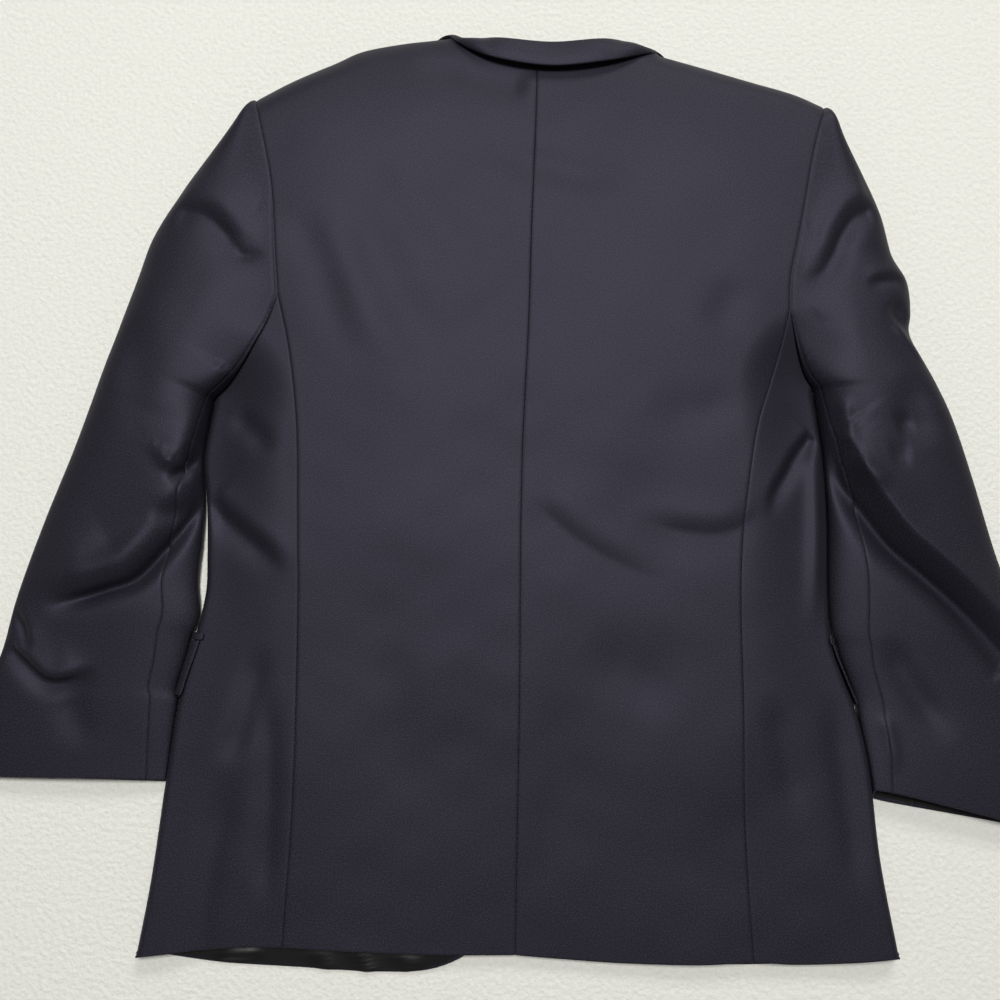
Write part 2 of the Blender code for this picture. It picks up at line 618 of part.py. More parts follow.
def spread(*stops):
    """Shares from stop to stop: (from, to, how many steps), ...; the last share closes the list."""
    shares = [np.linspace(a, b, n, endpoint=False) for a, b, n in stops]
    return np.concatenate(shares + [[stops[-1][1]]])


# ---- the pieces ----------------------------------------------------------------------------
def clear_scene():
    for obj in list(bpy.data.objects):
        bpy.data.objects.remove(obj, do_unlink=True)
    bpy.context.scene.unit_settings.system = "METRIC"


RIDGE_ROWS = (0.011, 0.042, 0.088, 0.145)                  # of the back's armhole, over the shoulder's rounding
ARM_ROWS = RIDGE_ROWS + (0.25, 0.37, 0.51, 0.66, 0.83, 1.0)
UNDERARM_REACH = (0.72, 0.42, 12.0, 6.5, 3.4, 0.9, 0.0)    # shares of the side's width, then mm from its edge
LOWER_ROWS = (0.45, 0.48, 0.52, 0.56, 0.60, 0.64, 0.69, 0.75, 0.81, 0.87, 0.93, 0.97, 1.0)
SIDE_ROWS = (0, 0.033, 0.075, 0.13, 0.20, 0.27, 0.34, 0.41, 0.474, 0.53, 0.577, 0.61, 0.644, 0.70, 0.78,
             0.86, 0.93, 1.0)
SHOULDER_COLUMNS = spread((0, 1, 6))


def underarm_steps(s):
    """How far from its edge the side piece's columns lie at the underarm, and there in mm."""
    line = smooth_line(s["underarm"])
    across = np.linalg.norm(line[-1] - line[0])
    return across, [d * across if d < 1 and d > 0 and i < 2 else d for i, d in enumerate(UNDERARM_REACH)]


def sleeve_rows(s):
    """Rows of the sleeve, each of which meets a point of the armhole as far as the underarm."""
    across, steps = underarm_steps(s)
    rows = [a * BACK_ARM for a in ARM_ROWS]
    rows += [UNDERARM - (UNDERARM - BACK_ARM) * d / across for d in steps]
    return rows + list(LOWER_ROWS)


def side_columns(s):
    """The side piece's columns, which meet the same points."""
    across, steps = underarm_steps(s)
    r = FOLD_RADIUS
    top = [0.6 * (1 - (d - r) / (across - r)) for d in [across] + steps[:4]]
    bend = [math.acos(1 - d / r) / math.pi for d in steps[4:]]
    turn = [0.6 + 0.3 * (0.5 - b) for b in bend] + [0.6 + 0.3 * (0.5 + b) for b in bend[-2::-1]]
    return top + turn + [0.9, 1.0]


def make_body(s, label, wool):
    left = s["side"] < 0
    rows_in = sleeve_rows(s)
    surface, neck, arm = back_piece(s)
    columns = list(SHOULDER_COLUMNS * neck) + [neck + (1 - neck) * t for t in (0.2, 0.55, 1.0)]
    rows = [0] + [a * arm for a in ARM_ROWS] + [arm + (1 - arm) * t for t in SIDE_ROWS[1:]]
    wall("back_" + label, surface, columns, rows, wool, flip=left)

    wall("side_" + label, side_piece(s), side_columns(s), SIDE_ROWS, wool, flip=not left, offset=-0.1)

    surface, arm, row_at = front_piece(s)
    end = front_arm_share(s)
    rows = [0] + [v / end * arm for v in rows_in if v < end + 1e-9] + [float(row_at(v)) for v in SIDE_ROWS[1:]]
    wall("front_" + label, surface, SHOULDER_COLUMNS, rows, wool, flip=not left)


def make_sleeve(s, label, wool):
    left = s["side"] < 0
    rows = sleeve_rows(s)
    start = BACK_ARM * ARM_ROWS[6]
    under = [start + 0.004] + [v for v in rows if v > start + 0.008]
    wall("under_sleeve_" + label, sleeve_piece(s, "under"), spread((0, 1, 8)), under, wool,
         flip=left, offset=-0.2, bevel=1.3)
    wall("top_sleeve_" + label, sleeve_piece(s, "top"), spread((0, 1, 15)), rows, wool,
         flip=left, offset=-0.2, bevel=1.3)


def make_lapel(s, label, wool):
    side = s["side"]
    roll = smooth_line(s["roll_line"])
    y_of = roll[::-1, 1]

    def surface(u, v):
        y = s["notch_y"] + (LAPEL_FOOT_Y - s["notch_y"]) * v
        share = (y - LAPEL_FOOT_Y) / (s["notch_y"] - LAPEL_FOOT_Y)
        x = np.interp(y, y_of, roll[::-1, 0])
        width = (LAPEL_WIDTH - 6) * np.sin(np.pi / 2 * np.clip(share, 0, 1)) ** 0.9 + 6
        return np.stack([x + side * width * (1 - u), y, 0 * y], axis=-1)
    wall("lapel_" + label, surface, spread((0, 1, 2)), spread((0, 1, 10)), wool, flip=side > 0, gap=0.0)


def make_pocket(s, label, wool):
    top, bottom = s["flap_y"]
    columns = (0, 0.025, 0.05, 0.07, 0.085, 0.1, 0.115, 0.13, 0.145, 0.175, 0.45, 0.75, 1.0)
    flap = flap_surface(s, top, bottom, s["flap_back"], FLAP_LENGTH, s["flap_slack"])
    wall("pocket_flap_" + label, flap, columns, spread((0, 1, 4)), wool, flip=s["side"] > 0,
         offset=FLAP_LAYER, gap=0.0)
    welt = flap_surface(s, top + WELT_DEPTH + SEAM, top + SEAM, (s["flap_back"][0] + 2,) * 2, FLAP_LENGTH, 0)
    wall("pocket_welt_" + label, welt, columns, (0, 1), wool, flip=s["side"] > 0, offset=FLAP_LAYER, gap=0.0)


def make_collar(wool):
    columns = [i / 16 for i in (0, 1, 2, 2.5, 3, 3.3, 3.6, 4, 4.25, 4.5, 4.75, 5, 5.5, 6, 6.5, 7, 7.5, 8, 8.5, 9,
                                9.5, 10, 10.5, 11, 11.25, 11.5, 11.75, 12, 12.4, 12.7, 13, 13.5, 14, 15, 16)]
    wall("collar_fall", collar_fall(), columns, (0, 0.25, 0.6, 0.88, 1.0), wool, gap=0.0)

    neck, _ = joined(LEFT["back_neck"], RIGHT["back_neck"][::-1])
    roll = by_station(COLLAR_STAND_TOP)

    def stand(u, v):
        share = 0.2 + 0.6 * u
        foot, head = along(neck, share), along(roll, share)
        low = with_height(foot + np.array([0, 1.4]), back_height(foot))
        high = head - np.array([0, 0.8, CLOTH + 1.0])
        rise = np.sin(np.pi / 2 * v)[..., None]
        mid = low + (high - low) * v[..., None]
        mid[..., 2:] = low[..., 2:] + (high[..., 2:] - low[..., 2:]) * rise
        return mid
    wall("collar_stand", stand, spread((0, 1, 10)), (0, 0.5, 1.0), wool, gap=0.0)


def make_button(name, x, y, horn):
    """A flat button with a raised rim, as one turned shape."""
    profile = ((0, 0), (BUTTON_RADIUS - 1.4, 0), (BUTTON_RADIUS - 0.4, 0.5), (BUTTON_RADIUS, 1.5),
               (BUTTON_RADIUS - 0.5, 2.8), (BUTTON_RADIUS - 2.5, BUTTON_HEIGHT), (0, BUTTON_HEIGHT))
    steps = 20
    rows = profile[1:-1]
    points = [(x, y, profile[0][1])]
    for r, z in rows:
        points += [(x + r * math.cos(2 * math.pi * k / steps), y + r * math.sin(2 * math.pi * k / steps), z)
                   for k in range(steps)]
    points.append((x, y, profile[-1][1]))
    faces = [(0, 1 + (k + 1) % steps, 1 + k) for k in range(steps)]
    for i in range(len(rows) - 1):
        a, b = 1 + i * steps, 1 + (i + 1) * steps
        faces += [(a + k, a + (k + 1) % steps, b + (k + 1) % steps, b + k) for k in range(steps)]
    last = 1 + (len(rows) - 1) * steps
    faces += [(last + k, last + (k + 1) % steps, len(points) - 1) for k in range(steps)]
    mesh = bpy.data.meshes.new(name)
    mesh.from_pydata([tuple(c * MM for c in p) for p in points], [], faces)
    mesh.update()
    place(name, mesh, horn)


def main():
    clear_scene()
    wool = cloth("wool_suiting", (0.042, 0.040, 0.054), 0.9)
    horn = cloth("dark_horn", (0.02, 0.02, 0.022), 0.35)
    for s, label in ((LEFT, "left"), (RIGHT, "right")):
        make_body(s, label, wool)
        make_sleeve(s, label, wool)
        make_lapel(s, label, wool)
        make_pocket(s, label, wool)
    make_collar(wool)
    for name, (x, y) in zip(("front_button_upper", "front_button_lower"), BUTTONS):
        make_button(name, x, y, horn)


main()
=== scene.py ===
"""The looks of a men's sport coat that lies back up: its cloth, folds, seams, lining, buttons and studio.

Tables are in millimetres on the frame of the solids: +X to the right as seen from above,
+Y towards the collar, +Z up from the surface. Each cut-and-sewn piece is a thin shell on
the form of its solid, on a fine grid, with its creases, sewn edges and turned hems.
Meshes and settings are in metres.
"""

import functools
import math

import bmesh
import bpy
import numpy as np
from mathutils import Matrix


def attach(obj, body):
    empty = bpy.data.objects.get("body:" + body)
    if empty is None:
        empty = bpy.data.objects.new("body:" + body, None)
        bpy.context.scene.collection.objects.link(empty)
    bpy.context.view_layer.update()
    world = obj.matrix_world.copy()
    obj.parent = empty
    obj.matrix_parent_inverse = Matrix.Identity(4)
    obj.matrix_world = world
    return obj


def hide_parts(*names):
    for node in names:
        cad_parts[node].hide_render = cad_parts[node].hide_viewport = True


bl_info = {
    "name": "Sport coat laid flat",
    "version": (1, 0, 0),
    "blender": (4, 5, 0),
    "location": "3D View > Sidebar > Sport coat",
    "description": "Builds the cloth, lining, buttons and thread of a sport coat on its packed solids",
    "category": "Add Mesh",
}

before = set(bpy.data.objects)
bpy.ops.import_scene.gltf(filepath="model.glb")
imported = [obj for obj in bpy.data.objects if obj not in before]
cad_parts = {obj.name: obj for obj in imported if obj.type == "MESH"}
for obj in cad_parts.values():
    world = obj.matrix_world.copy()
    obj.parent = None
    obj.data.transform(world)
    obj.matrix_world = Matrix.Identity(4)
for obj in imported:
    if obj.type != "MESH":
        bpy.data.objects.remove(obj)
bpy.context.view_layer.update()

MM = 0.001
CLOTH = 2.0            # wall of one piece in the solids, which sets where each layer lies
SEAM = 0.34            # space between neighbouring pieces
LAYER = CLOTH + SEAM   # step from one layer to the next

# ---- seam lines and edges, seen from above (x, y) ------------------------------------
CENTRE_SEAM = ((24, 373), (21, 288), (18, 216), (15, 129), (10, 30), (8, -67), (7, -181), (3, -382))

LEFT = {
    "side": -1,
    "shoulder": ((-222, 337), (-192, 355), (-154, 374), (-133, 385), (-98, 393), (-56, 398)),
    "armhole": ((-222, 337), (-213, 300), (-204, 254), (-201, 219), (-199, 185), (-197, 158)),
    "underarm": ((-197, 158), (-206, 134), (-221, 108), (-240, 84), (-255, 71)),
    "side_seam": ((-197, 158), (-187, 110), (-180, 50), (-178, -17), (-176, -100), (-177, -260),
                  (-183, -376)),
    "fold": ((-255, 71), (-259, 45), (-262, 19), (-258, -20), (-256, -66), (-256, -92),
             (-264, -133), (-275, -182), (-283, -250), (-291, -325), (-300, -383)),
    "front_armhole": ((-222, 337), (-196, 280), (-188, 220), (-200, 150)),
    "notch_y": 300,
    "flap_y": (-133, -178), "flap_back": (11, 10), "flap_slack": 2.0,
    "hem": ((-300, -383), (-257, -379), (-216, -376), (-183, -376)),
    "back_hem": ((-183, -376), (-105, -380), (-49, -382), (3, -382)),
    "back_neck": ((-56, 398), (-40, 389), (-20, 380), (2, 375), (24, 373)),
    "roll_line": ((-56, 398), (-20, 222), (14, 46), (32, -55)),
    "front_edge": ((32, -55), (32, -150), (30, -240), (22, -300), (3, -345), (-20, -371),
                   (-42, -386), (-62, -393.5), (-84, -396.5)),
    "front_hem": ((-288, -384), (-234, -389), (-170, -393), (-120, -396), (-84, -396.5)),
    "sleeve_outer": ((-222, 337), (-229, 329), (-241, 313), (-265, 283), (-289, 249), (-311, 213),
                     (-323, 177), (-346, 105), (-368, 36), (-393, -33), (-414, -100), (-423, -140),
                     (-433, -170), (-438, -243)),
    "clearance": ((71, 0.1), (60, 0.3), (0, 0.5), (-14, 1.0), (-50, 3.6), (-86, 6.6), (-102, 3.2),
                  (-112, 1.0), (-121, 1.4), (-128, 3.3), (-152, 3.6), (-175, 4.0), (-180, 1.2),
                  (-190, 0.6), (-246, 0.6)),
    "cuff": (-284, -245), "mouth": 3, "cuff_rise": 0,
}

RIGHT = {
    "side": 1,
    "shoulder": ((274, 330), (250, 342), (211, 355), (170, 369), (133, 381)),
    "armhole": ((274, 330), (266, 308), (258, 278), (250, 236), (243, 202), (237, 173), (236, 145)),
    "underarm": ((236, 145), (240, 127), (246, 107), (253, 90), (261, 79)),
    "side_seam": ((236, 145), (229, 110), (221, 84), (209, 50), (199, -1), (192, -60), (190, -110),
                  (190, -181), (189, -261), (190, -323), (193, -387)),
    "fold": ((261, 79), (264, 50), (267, 19), (268, -32), (266, -99), (268, -137), (276, -165),
             (285, -191), (293, -230), (299, -309), (310, -384)),
    "front_armhole": ((274, 330), (238, 285), (226, 220), (228, 160)),
    "notch_y": 284,
    "flap_y": (-137, -186), "flap_back": (6, 2), "flap_slack": 1.0,
    "hem": ((310, -384), (278, -387), (230, -389), (193, -387)),
    "back_hem": ((193, -387), (151, -389), (87, -388), (39, -385), (3, -382)),
    "back_neck": ((133, 381), (110, 380), (80, 376), (50, 373), (24, 373)),
    "roll_line": ((133, 381), (75, 205), (17, 28), (-12, -55)),
    "front_edge": ((-12, -55), (-12, -150), (-10, -240), (-2, -300), (18, -345), (42, -370),
                   (62, -383), (84, -389)),
    "front_hem": ((298, -385), (230, -390), (151, -391), (84, -389)),
    "sleeve_outer": ((274, 330), (281, 321), (291, 298), (307, 266), (322, 231), (331, 195),
                     (343, 173), (345, 145), (343, 127), (362, 87), (376, 53), (391, 1),
                     (408, -66), (422, -108), (433, -165), (438, -230), (438, -287)),
    "clearance": ((79, 0.1), (68, 0.3), (0, 0.4), (-104, 0.4), (-126, 1.2), (-136, 3.5), (-150, 3.7),
                  (-180, 3.8), (-192, 1.6), (-202, 0.6), (-256, 0.5)),
    "cuff": (296, -247), "mouth": 15, "cuff_rise": 5,
}
HALVES = ((LEFT, "left"), (RIGHT, "right"))

# ---- heights of the upper layer above the surface ---------------------------------------
BACK_HEIGHT = (
    # y, at the centre seam, towards the sides
    (400, 35, 32), (340, 40, 46), (280, 38, 48), (200, 33, 42), (120, 28, 34), (40, 24, 27),
    (-60, 20, 22), (-180, 15, 18), (-300, 11, 13), (-390, 9, 11),
)
BACK_MIDDLE = 12       # the back's height is the same on both sides of this x
SIDE_SPREAD = 200      # the side height is reached this far from the middle
FOLD_RADIUS = 6.5      # the body turns under at its side edges round this radius
FOLD_RISE = 70         # from a side edge the back rises to full height over this width
BODY_FOLD_RISE = 14    # and the body's folds reach full strength over this one
RIDGE_HEIGHT = 22      # the shoulder seam's height, on the padded shoulder's end
RIDGE_BACK = 26        # how far the shoulder rounds off towards the back
RIDGE_FRONT = 22       # and towards the front
BODY_UNEVEN = ((3, 150, 0.7), (5, 55, 0.16))      # soft waves: seed, size, height
SLEEVE_UNEVEN = ((7, 120, 0.5), (9, 50, 0.15))
UNEVEN_WAVES = 14

SLEEVE_HEIGHT = (
    # share of the sleeve's length, crown height, outer edge height, inner edge height
    (0.00, 46, 22, 6.5), (0.10, 46, 18, 6.5), (0.25, 43, 14, 6.5), (0.42, 41, 12, 6.5), (0.48, 38, 12, 10),
    (0.58, 32, 11, 10), (0.75, 24, 9, 8), (0.92, 16, 7, 7), (1.00, 12, 7, 7),
)
BACK_ARM, UNDERARM = 0.29, 0.42   # the sleeve leaves the back's armhole, and the body, at these shares
SLEEVE_JOIN = (0.02, 0.16)        # between these it takes over from the armhole's height
CROWN_POWER = 2.4      # roundness of the sleeve's upper side, and of its flat lower side
SOLE_POWER = 7.0
TOUCH = 1e-6           # keeps a turn on one side of the sleeve's inner edge
FOLD_FADE = 16         # a sleeve's folds hang over nothing within this of its two edges
SLEEVE_TOP = 0.0032    # the first share of the sleeve, just below its point at the shoulder
UNDER_SLEEVE_TOP = 0.152
HIND_SEAM = (
    # share of the sleeve's length, and of its width from the outer edge
    (0.148, 1.0), (0.175, 0.985), (0.21, 0.98), (0.30, 0.98), (0.42, 0.975), (0.50, 0.94), (0.58, 0.85),
    (0.70, 0.81), (0.85, 0.86), (1.00, 0.90),
)
FORE_SEAM = ((0.42, 1.0), (0.45, 0.985), (0.52, 0.90), (0.60, 0.84), (0.75, 0.78), (1.00, 0.75))
SIDE_TURN = (0.6, 0.9) # between these shares of its width the side piece turns round the body's edge
FRONT_SEAM_IN = 12.0   # the seam to the front lies this far in, on the underside
CUFF_FROM = 0.85       # from this share on, the sleeve opens towards its mouth
SLEEVE_UPPER = 0.44    # the top sleeve's upper side begins at this share of its width
SLEEVE_LOW, SLEEVE_LEAST = 14.0, 8.0   # folds that go below the first height level out at the second

# ---- folds -----------------------------------------------------------------------------
# A fold's path on the plan, and then, in mm:
#   roll    on which side of the path, seen along it, the cloth rolls over towards it: 1 left, -1 right,
#           0 neither
#   rise    how much higher than the cloth the roll is, and depth how far the path lies below the cloth
#   round   over what width the roll comes down, and reach how far the rise fades away
#   trough  the width of the other side's slope, or of both sides where nothing rolls (a ridge has a
#           negative depth)
#   lip     how far the roll hangs over the path
#   start, end   the shares of the path over which the fold grows and fades
#   crisp   0 where the roll is round above and meets the path sharply, 1 where its upper lip is sharp
# A short row is a plain valley or ridge, with the values of PLAIN_COLUMNS alone.
FOLD_COLUMNS = ("roll", "rise", "depth", "round", "reach", "trough", "lip", "start", "end", "crisp")
PLAIN_COLUMNS = ("depth", "trough", "start", "end")
PLAIN_FOLD = {"roll": 0, "rise": 0, "round": 1, "reach": 1, "lip": 0, "crisp": 0}
LIP_SHAPE = (4.5, 24)  # a lip's push grows over the first width and fades over the second
SLEEVE_FOLDS = {
    "left": {
        "armpit": (((-226, 88), (-240, 63), (-254, 36), (-271, 11), (-286, -2)),
                   -1, 9, 12, 14, 26, 10, 3, 0.04, 0.15),
        "armpit_spot": (((-266, -20), (-280, -26), (-300, -32)), 6, 9, 0.4, 0.5),
        "upper_valley": (((-278, -25), (-318, -43), (-348, -65), (-376, -84)), 4, 15, 0.2, 0.5),
        "elbow": (((-246, 2), (-265, -27), (-288, -57), (-312, -82), (-334, -90), (-360, -98), (-392, -107)),
                  -1, 13, 11, 25, 40, 9, 3, 0.05, 0.25),
        "outer_nick": (((-414, -105), (-402, -124), (-392, -142)), 1, 2, 4, 7, 12, 5, 0, 0.3, 0.4),
        "forearm": (((-418, -134), (-401, -150), (-380, -166), (-357, -164), (-338, -154)),
                    1, 5, 6, 12, 20, 10, 3, 0.15, 0.35),
        "forearm_valley": (((-369, -173), (-356, -197), (-348, -226)), 2.5, 14, 0.3, 0.5),
        "cap": (((-290, 231), (-263, 227), (-244, 213), (-231, 197), (-206, 192)),
                1, 4, 4, 20, 28, 12, 0, 0.15, 0.15),
        "cap_crease": (((-236, 193), (-222, 190), (-204, 192)), 1, 1, 4, 7, 10, 4, 0, 0.3, 0.3),
        "cap_nick": (((-207, 243), (-214, 232), (-220, 220)), 1.6, 3.5, 0.3, 0.4),
        "upper_arm": (((-330, 150), (-316, 96), (-318, 40)), 3, 20, 0.4, 0.4),
        "hind_ridge": (((-222, 118), (-244, 76), (-268, 40), (-290, 16)), -3, 9, 0.3, 0.4),
    },
    "right": {
        "elbow": (((252, 44), (258, 30), (269, 19), (278, -3), (294, -26), (315, -54),
                   (341, -77), (366, -100), (393, -129), (414, -155)),
                  1, 14, 15, 19, 34, 13, 3, 0.2, 0.02, 0.8),
        "cap": (((312, 233), (293, 225), (280, 208), (271, 189), (260, 174), (240, 170)),
                -1, 4, 5, 17, 26, 12, 0, 0.12, 0.2),
        "cap_nick": (((247, 227), (255, 213), (260, 196)), 1.6, 3.5, 0.3, 0.4),
        "arm_ridge": (((240, 165), (252, 151), (270, 132)), -2, 4.5, 0.3, 0.5),
        "bulge_crease": (((298, 164), (315, 169), (336, 172)), 1, 2, 4, 8, 12, 6, 0, 0.4, 0.2),
        "bulge_hollow": (((320, 152), (328, 140), (335, 126)), 6, 8, 0.4, 0.4),
        "bulge_ridge": (((318, 142), (328, 125), (342, 110), (356, 92)), -3.5, 4.5, 0.3, 0.4),
        "outer_valley": (((328, 92), (336, 60), (340, 20)), 4, 17, 0.4, 0.4),
        "spot_upper": (((318, 44), (327, 47), (337, 50)), 2.6, 9, 0.4, 0.4),
        "spot_lower": (((312, 18), (322, 20), (334, 20)), 2, 9, 0.4, 0.4),
        "inner_ridge": (((277, 72), (280, 46), (285, 22)), -4, 6, 0.3, 0.4),
        "lip_ridge": (((283, 20), (296, 7), (314, -8)), -4, 7, 0.3, 0.4),
        "forearm_valley": (((306, -128), (325, -165), (347, -197), (366, -216)), 4, 12, 0.3, 0.4),
        "cuff_ridge": (((303, -190), (309, -212), (312, -240)), -2.5, 6, 0.3, 0.4),
    },
}
BODY_FOLDS = {
    "left_seam_drape": (((-181, 240), (-172, 205), (-160, 180), (-150, 145), (-128, 90)), 1.6, 16, 0.3, 0.5),
    "left_drape": (((-140, 262), (-118, 206), (-92, 152), (-40, 52)), 2.1, 23, 0.3, 0.5),
    "left_light": (((-160, 240), (-132, 170), (-104, 110), (-70, 60)), -1.6, 19, 0.3, 0.5),
    "mid_drape": (((-104, 298), (-80, 240), (-34, 172)), 1.7, 21, 0.3, 0.5),
    "near_drape": (((-70, 246), (-46, 204), (-18, 160)), 1.1, 18, 0.4, 0.4),
    "neck_left": (((-86, 372), (-44, 357), (-8, 347), (20, 343)), 3.6, 12, 0.4, 0.16),
    "neck_drape": (((-35, 290), (25, 274), (114, 252)), 2.2, 14, 0.4, 0.4),
    "right_blade": (((166, 120), (182, 146), (198, 176)), 1.6, 17, 0.4, 0.4),
    "right_waist_upper": (((112, 70), (159, 57), (200, 84)), 1.6, 18, 0.4, 0.4),
    "right_waist": (((100, -30), (148, -43), (184, -42), (216, -22)), 1, 2, 1.8, 20, 26, 22, 0, 0.4, 0.3),
    "centre_waist": (((14, -14), (60, -52), (110, -78), (140, -84)), 1, 2, 1.6, 22, 28, 24, 0, 0.2, 0.5),
    "right_low": (((60, -130), (104, -160), (150, -172)), 2.4, 28, 0.4, 0.4),
    "centre_low": (((28, -140), (40, -240), (30, -330)), 1.4, 20, 0.4, 0.4),
    "left_low": (((-120, -90), (-96, -180), (-100, -280)), 1.4, 22, 0.4, 0.4),
    "left_armpit": (((-258, -14), (-240, -31), (-221, -47), (-201, -64), (-184, -84)),
                    1, 3, 4, 16, 24, 13, 0, 0.1, 0.4),
    "left_side_upper": (((-238, 60), (-216, 40), (-198, 20)), 3, 9, 0.3, 0.4),
    "left_flare_upper": (((-203, -132), (-212, -170), (-221, -205), (-236, -240)), 3, 11, 0.3, 0.3),
    "left_flare_lower": (((-226, -230), (-240, -292), (-254, -400)), 2.6, 12, 0.3, 0.05),
    "left_flare_inner": (((-200, -160), (-197, -240), (-199, -350)), 2.6, 9, 0.3, 0.2),
    "right_armpit": (((258, 42), (242, 23), (233, 8), (221, -12), (214, -36)),
                     -1, 2, 5, 9, 14, 9, 1, 0.05, 0.45),
    "right_side_ridge": (((262, 36), (259, -17), (256, -67), (249, -140)), -4, 8, 0.1, 0.5),
    "right_side_groove": (((268, 14), (267, -34), (266, -84), (268, -120)), 5, 5, 0.2, 0.3),
    "right_flare": (((212, -170), (224, -225), (236, -290)), 2.4, 12, 0.3, 0.4),
    "right_flare_outer": (((262, -170), (272, -250), (280, -340)), 2.6, 11, 0.3, 0.3),
}
FRONT_FOLDS = {         # on the left front where it shows below the back's hem, all of them ridges
    "lining_bulge": (((-238, -384), (-222, -382), (-198, -381)), -4, 3.2, 0.3, 0.3),
    "strip_left": (((-160, -378), (-150, -388), (-146, -398)), -1.6, 5, 0.2, 0.2),
    "strip_mid": (((-128, -376), (-120, -386), (-112, -400)), -2.2, 4, 0.2, 0.2),
    "strip_right": (((-96, -378), (-88, -386), (-70, -392)), -1.8, 4, 0.2, 0.3),
}

# ---- the layers underneath -----------------------------------------------------------------
LAPEL_FOOT_Y = 48      # the lapel runs out here, above the fastening
LAPEL_WIDTH, LAPEL_LEAST = 84, 6
FLAP_LENGTH = 150
FLAP_LAYER = LAYER + 0.6
WELT_DEPTH = 6
# The fronts are raised over more than the layers that lift them, and the rise fades softly:
LAPEL_SPREAD, LAPEL_SOFT = (90, 80), 40
FLAP_PAD = (285 - FLAP_LENGTH - 50, 1000, -216, -96, 40)     # x0, x1, y0, y1 and the soft width
CLOSING_PAD = (-50, 70, -360, 40, 55)
LIFT_FROM, LIFT_OVER = 2, 6                  # from the body's edge, where the rise begins and over what width
BUTTON_RADIUS, BUTTON_HEIGHT = 10, 3.2
BUTTONS = (("front_button_upper", 10, -75), ("front_button_lower", 10, -178))
BUTTON_SIDES = 64
BUTTON_DISH = 1.1      # how far the middle of its face lies in from the rim
BUTTON_PROFILE = (     # radius, height
    (6.2, BUTTON_DISH), (6.9, 0.95), (7.4, 0.5), (8.0, 0.1), (8.6, 0.0), (9.2, 0.1), (9.75, 0.6),
    (BUTTON_RADIUS, 1.3), (9.9, 2.0), (9.4, 2.6), (8.4, 3.0), (7.0, BUTTON_HEIGHT),
)
BUTTON_HOLE = 0.95     # radius of each hole, and how far it is from the middle along both axes
BUTTON_HOLE_AT = 1.75

COLLAR = (
    # station, outer edge (x, y, z), roll (x, y, z), crown above the straight line
    ("left_notch", (-98, 316, 0), (-38, 306, 0), 0),
    ("left_leg", (-108, 348, 0), (-44, 346, 0), 0),
    ("left_lie", (-107, 374, 0), (-49, 376, 0), 0),
    ("left_turn", (-84, 392, 5.5), (-52, 398, 5), 0),
    ("left_ridge", (-59, 401.5, 23), (-46, 403, 17), 3),
    ("left_rise", (-46, 386, 38), (-39, 397, 21), 7.5),
    ("left_top", (-35, 377, 42), (-31, 396, 26), 9),
    ("left_back", (-15, 367, 46.5), (-12, 388, 43), 3),
    ("centre_back", (35, 359, 46.5), (36, 384, 43), 3),
    ("right_back", (86, 364, 46.5), (84, 387, 43), 3),
    ("right_top", (113, 372, 41), (105, 392, 27), 8),
    ("right_rise", (125, 378, 35), (114, 390, 22), 6),
    ("right_ridge", (134.5, 384, 23), (123, 389, 17), 3),
    ("right_turn", (160, 369, 5), (130, 381, 5), 0),
    ("right_lie", (182, 354, 0), (126, 361, 0), 0),
    ("right_leg", (176, 328, 0), (116, 334, 0), 0),
    ("right_notch", (160, 298, 0), (104, 294, 0), 0),
)
STAND_FROM, STAND_TO = 0.2, 0.8    # the stand shows along these shares of the neck seam
COLLAR_STAND_TOP = ((-30, 388, 39), (-12, 386, 42), (36, 383, 43), (84, 385, 42), (108, 384, 39))

# ---- cloth -----------------------------------------------------------------------------------
HEMMED = ("seam", "edge", "seam", "seam")    # borders at the top, bottom, left and right
PRESSED = {"kinds": ("edge",) * 4, "turn_up": (99,) * 4}    # turned all round, wool on both faces
# How far the outer cloth reaches inside from each border, before the lining begins. At the fronts and the
# cuffs it stops within a few mm of the edge, though a real coat has a deeper wool turn-up there, so that the
# black lining stands in for the shade inside the cuffs and below the back's hem: a real lining, partly
# painted shade:
HEM_TURN, FRONT_TURN_PAINTED_SHADE, CUFF_TURN_PAINTED_SHADE = (0, 30, 0, 0), (0, 2.5, 0, 8), (0, 3, 0, 0)
SIDE_OFFSET, SLEEVE_OFFSET = -0.1, -0.2      # these pieces lie a little inside their solids' faces
CLOTH_MAP = "cloth"    # each piece's own map, in metres along and across the cloth
# Rows of points near a border, mm from it:
SEAM_STEPS = (0, 0.7, 1.5, 2.6, 4.2)
EDGE_STEPS = (0, 1.8, 3.4, 5.2)
SHOULDER_STEPS = (0, 0.6, 1.5, 2.8, 4.6, 7.0, 10.0, 13.5)
ROUND_STEPS = 4        # steps round a turned edge, from the outside to the inside
ROUND_OUT = 0.8        # a turned edge stands out by this share of half the cloth
HIDDEN_STEP = 2.0      # pieces that the surface hides have this many times coarser a grid
INNER_LEAST = 0.02     # the inner face stays this far above the surface


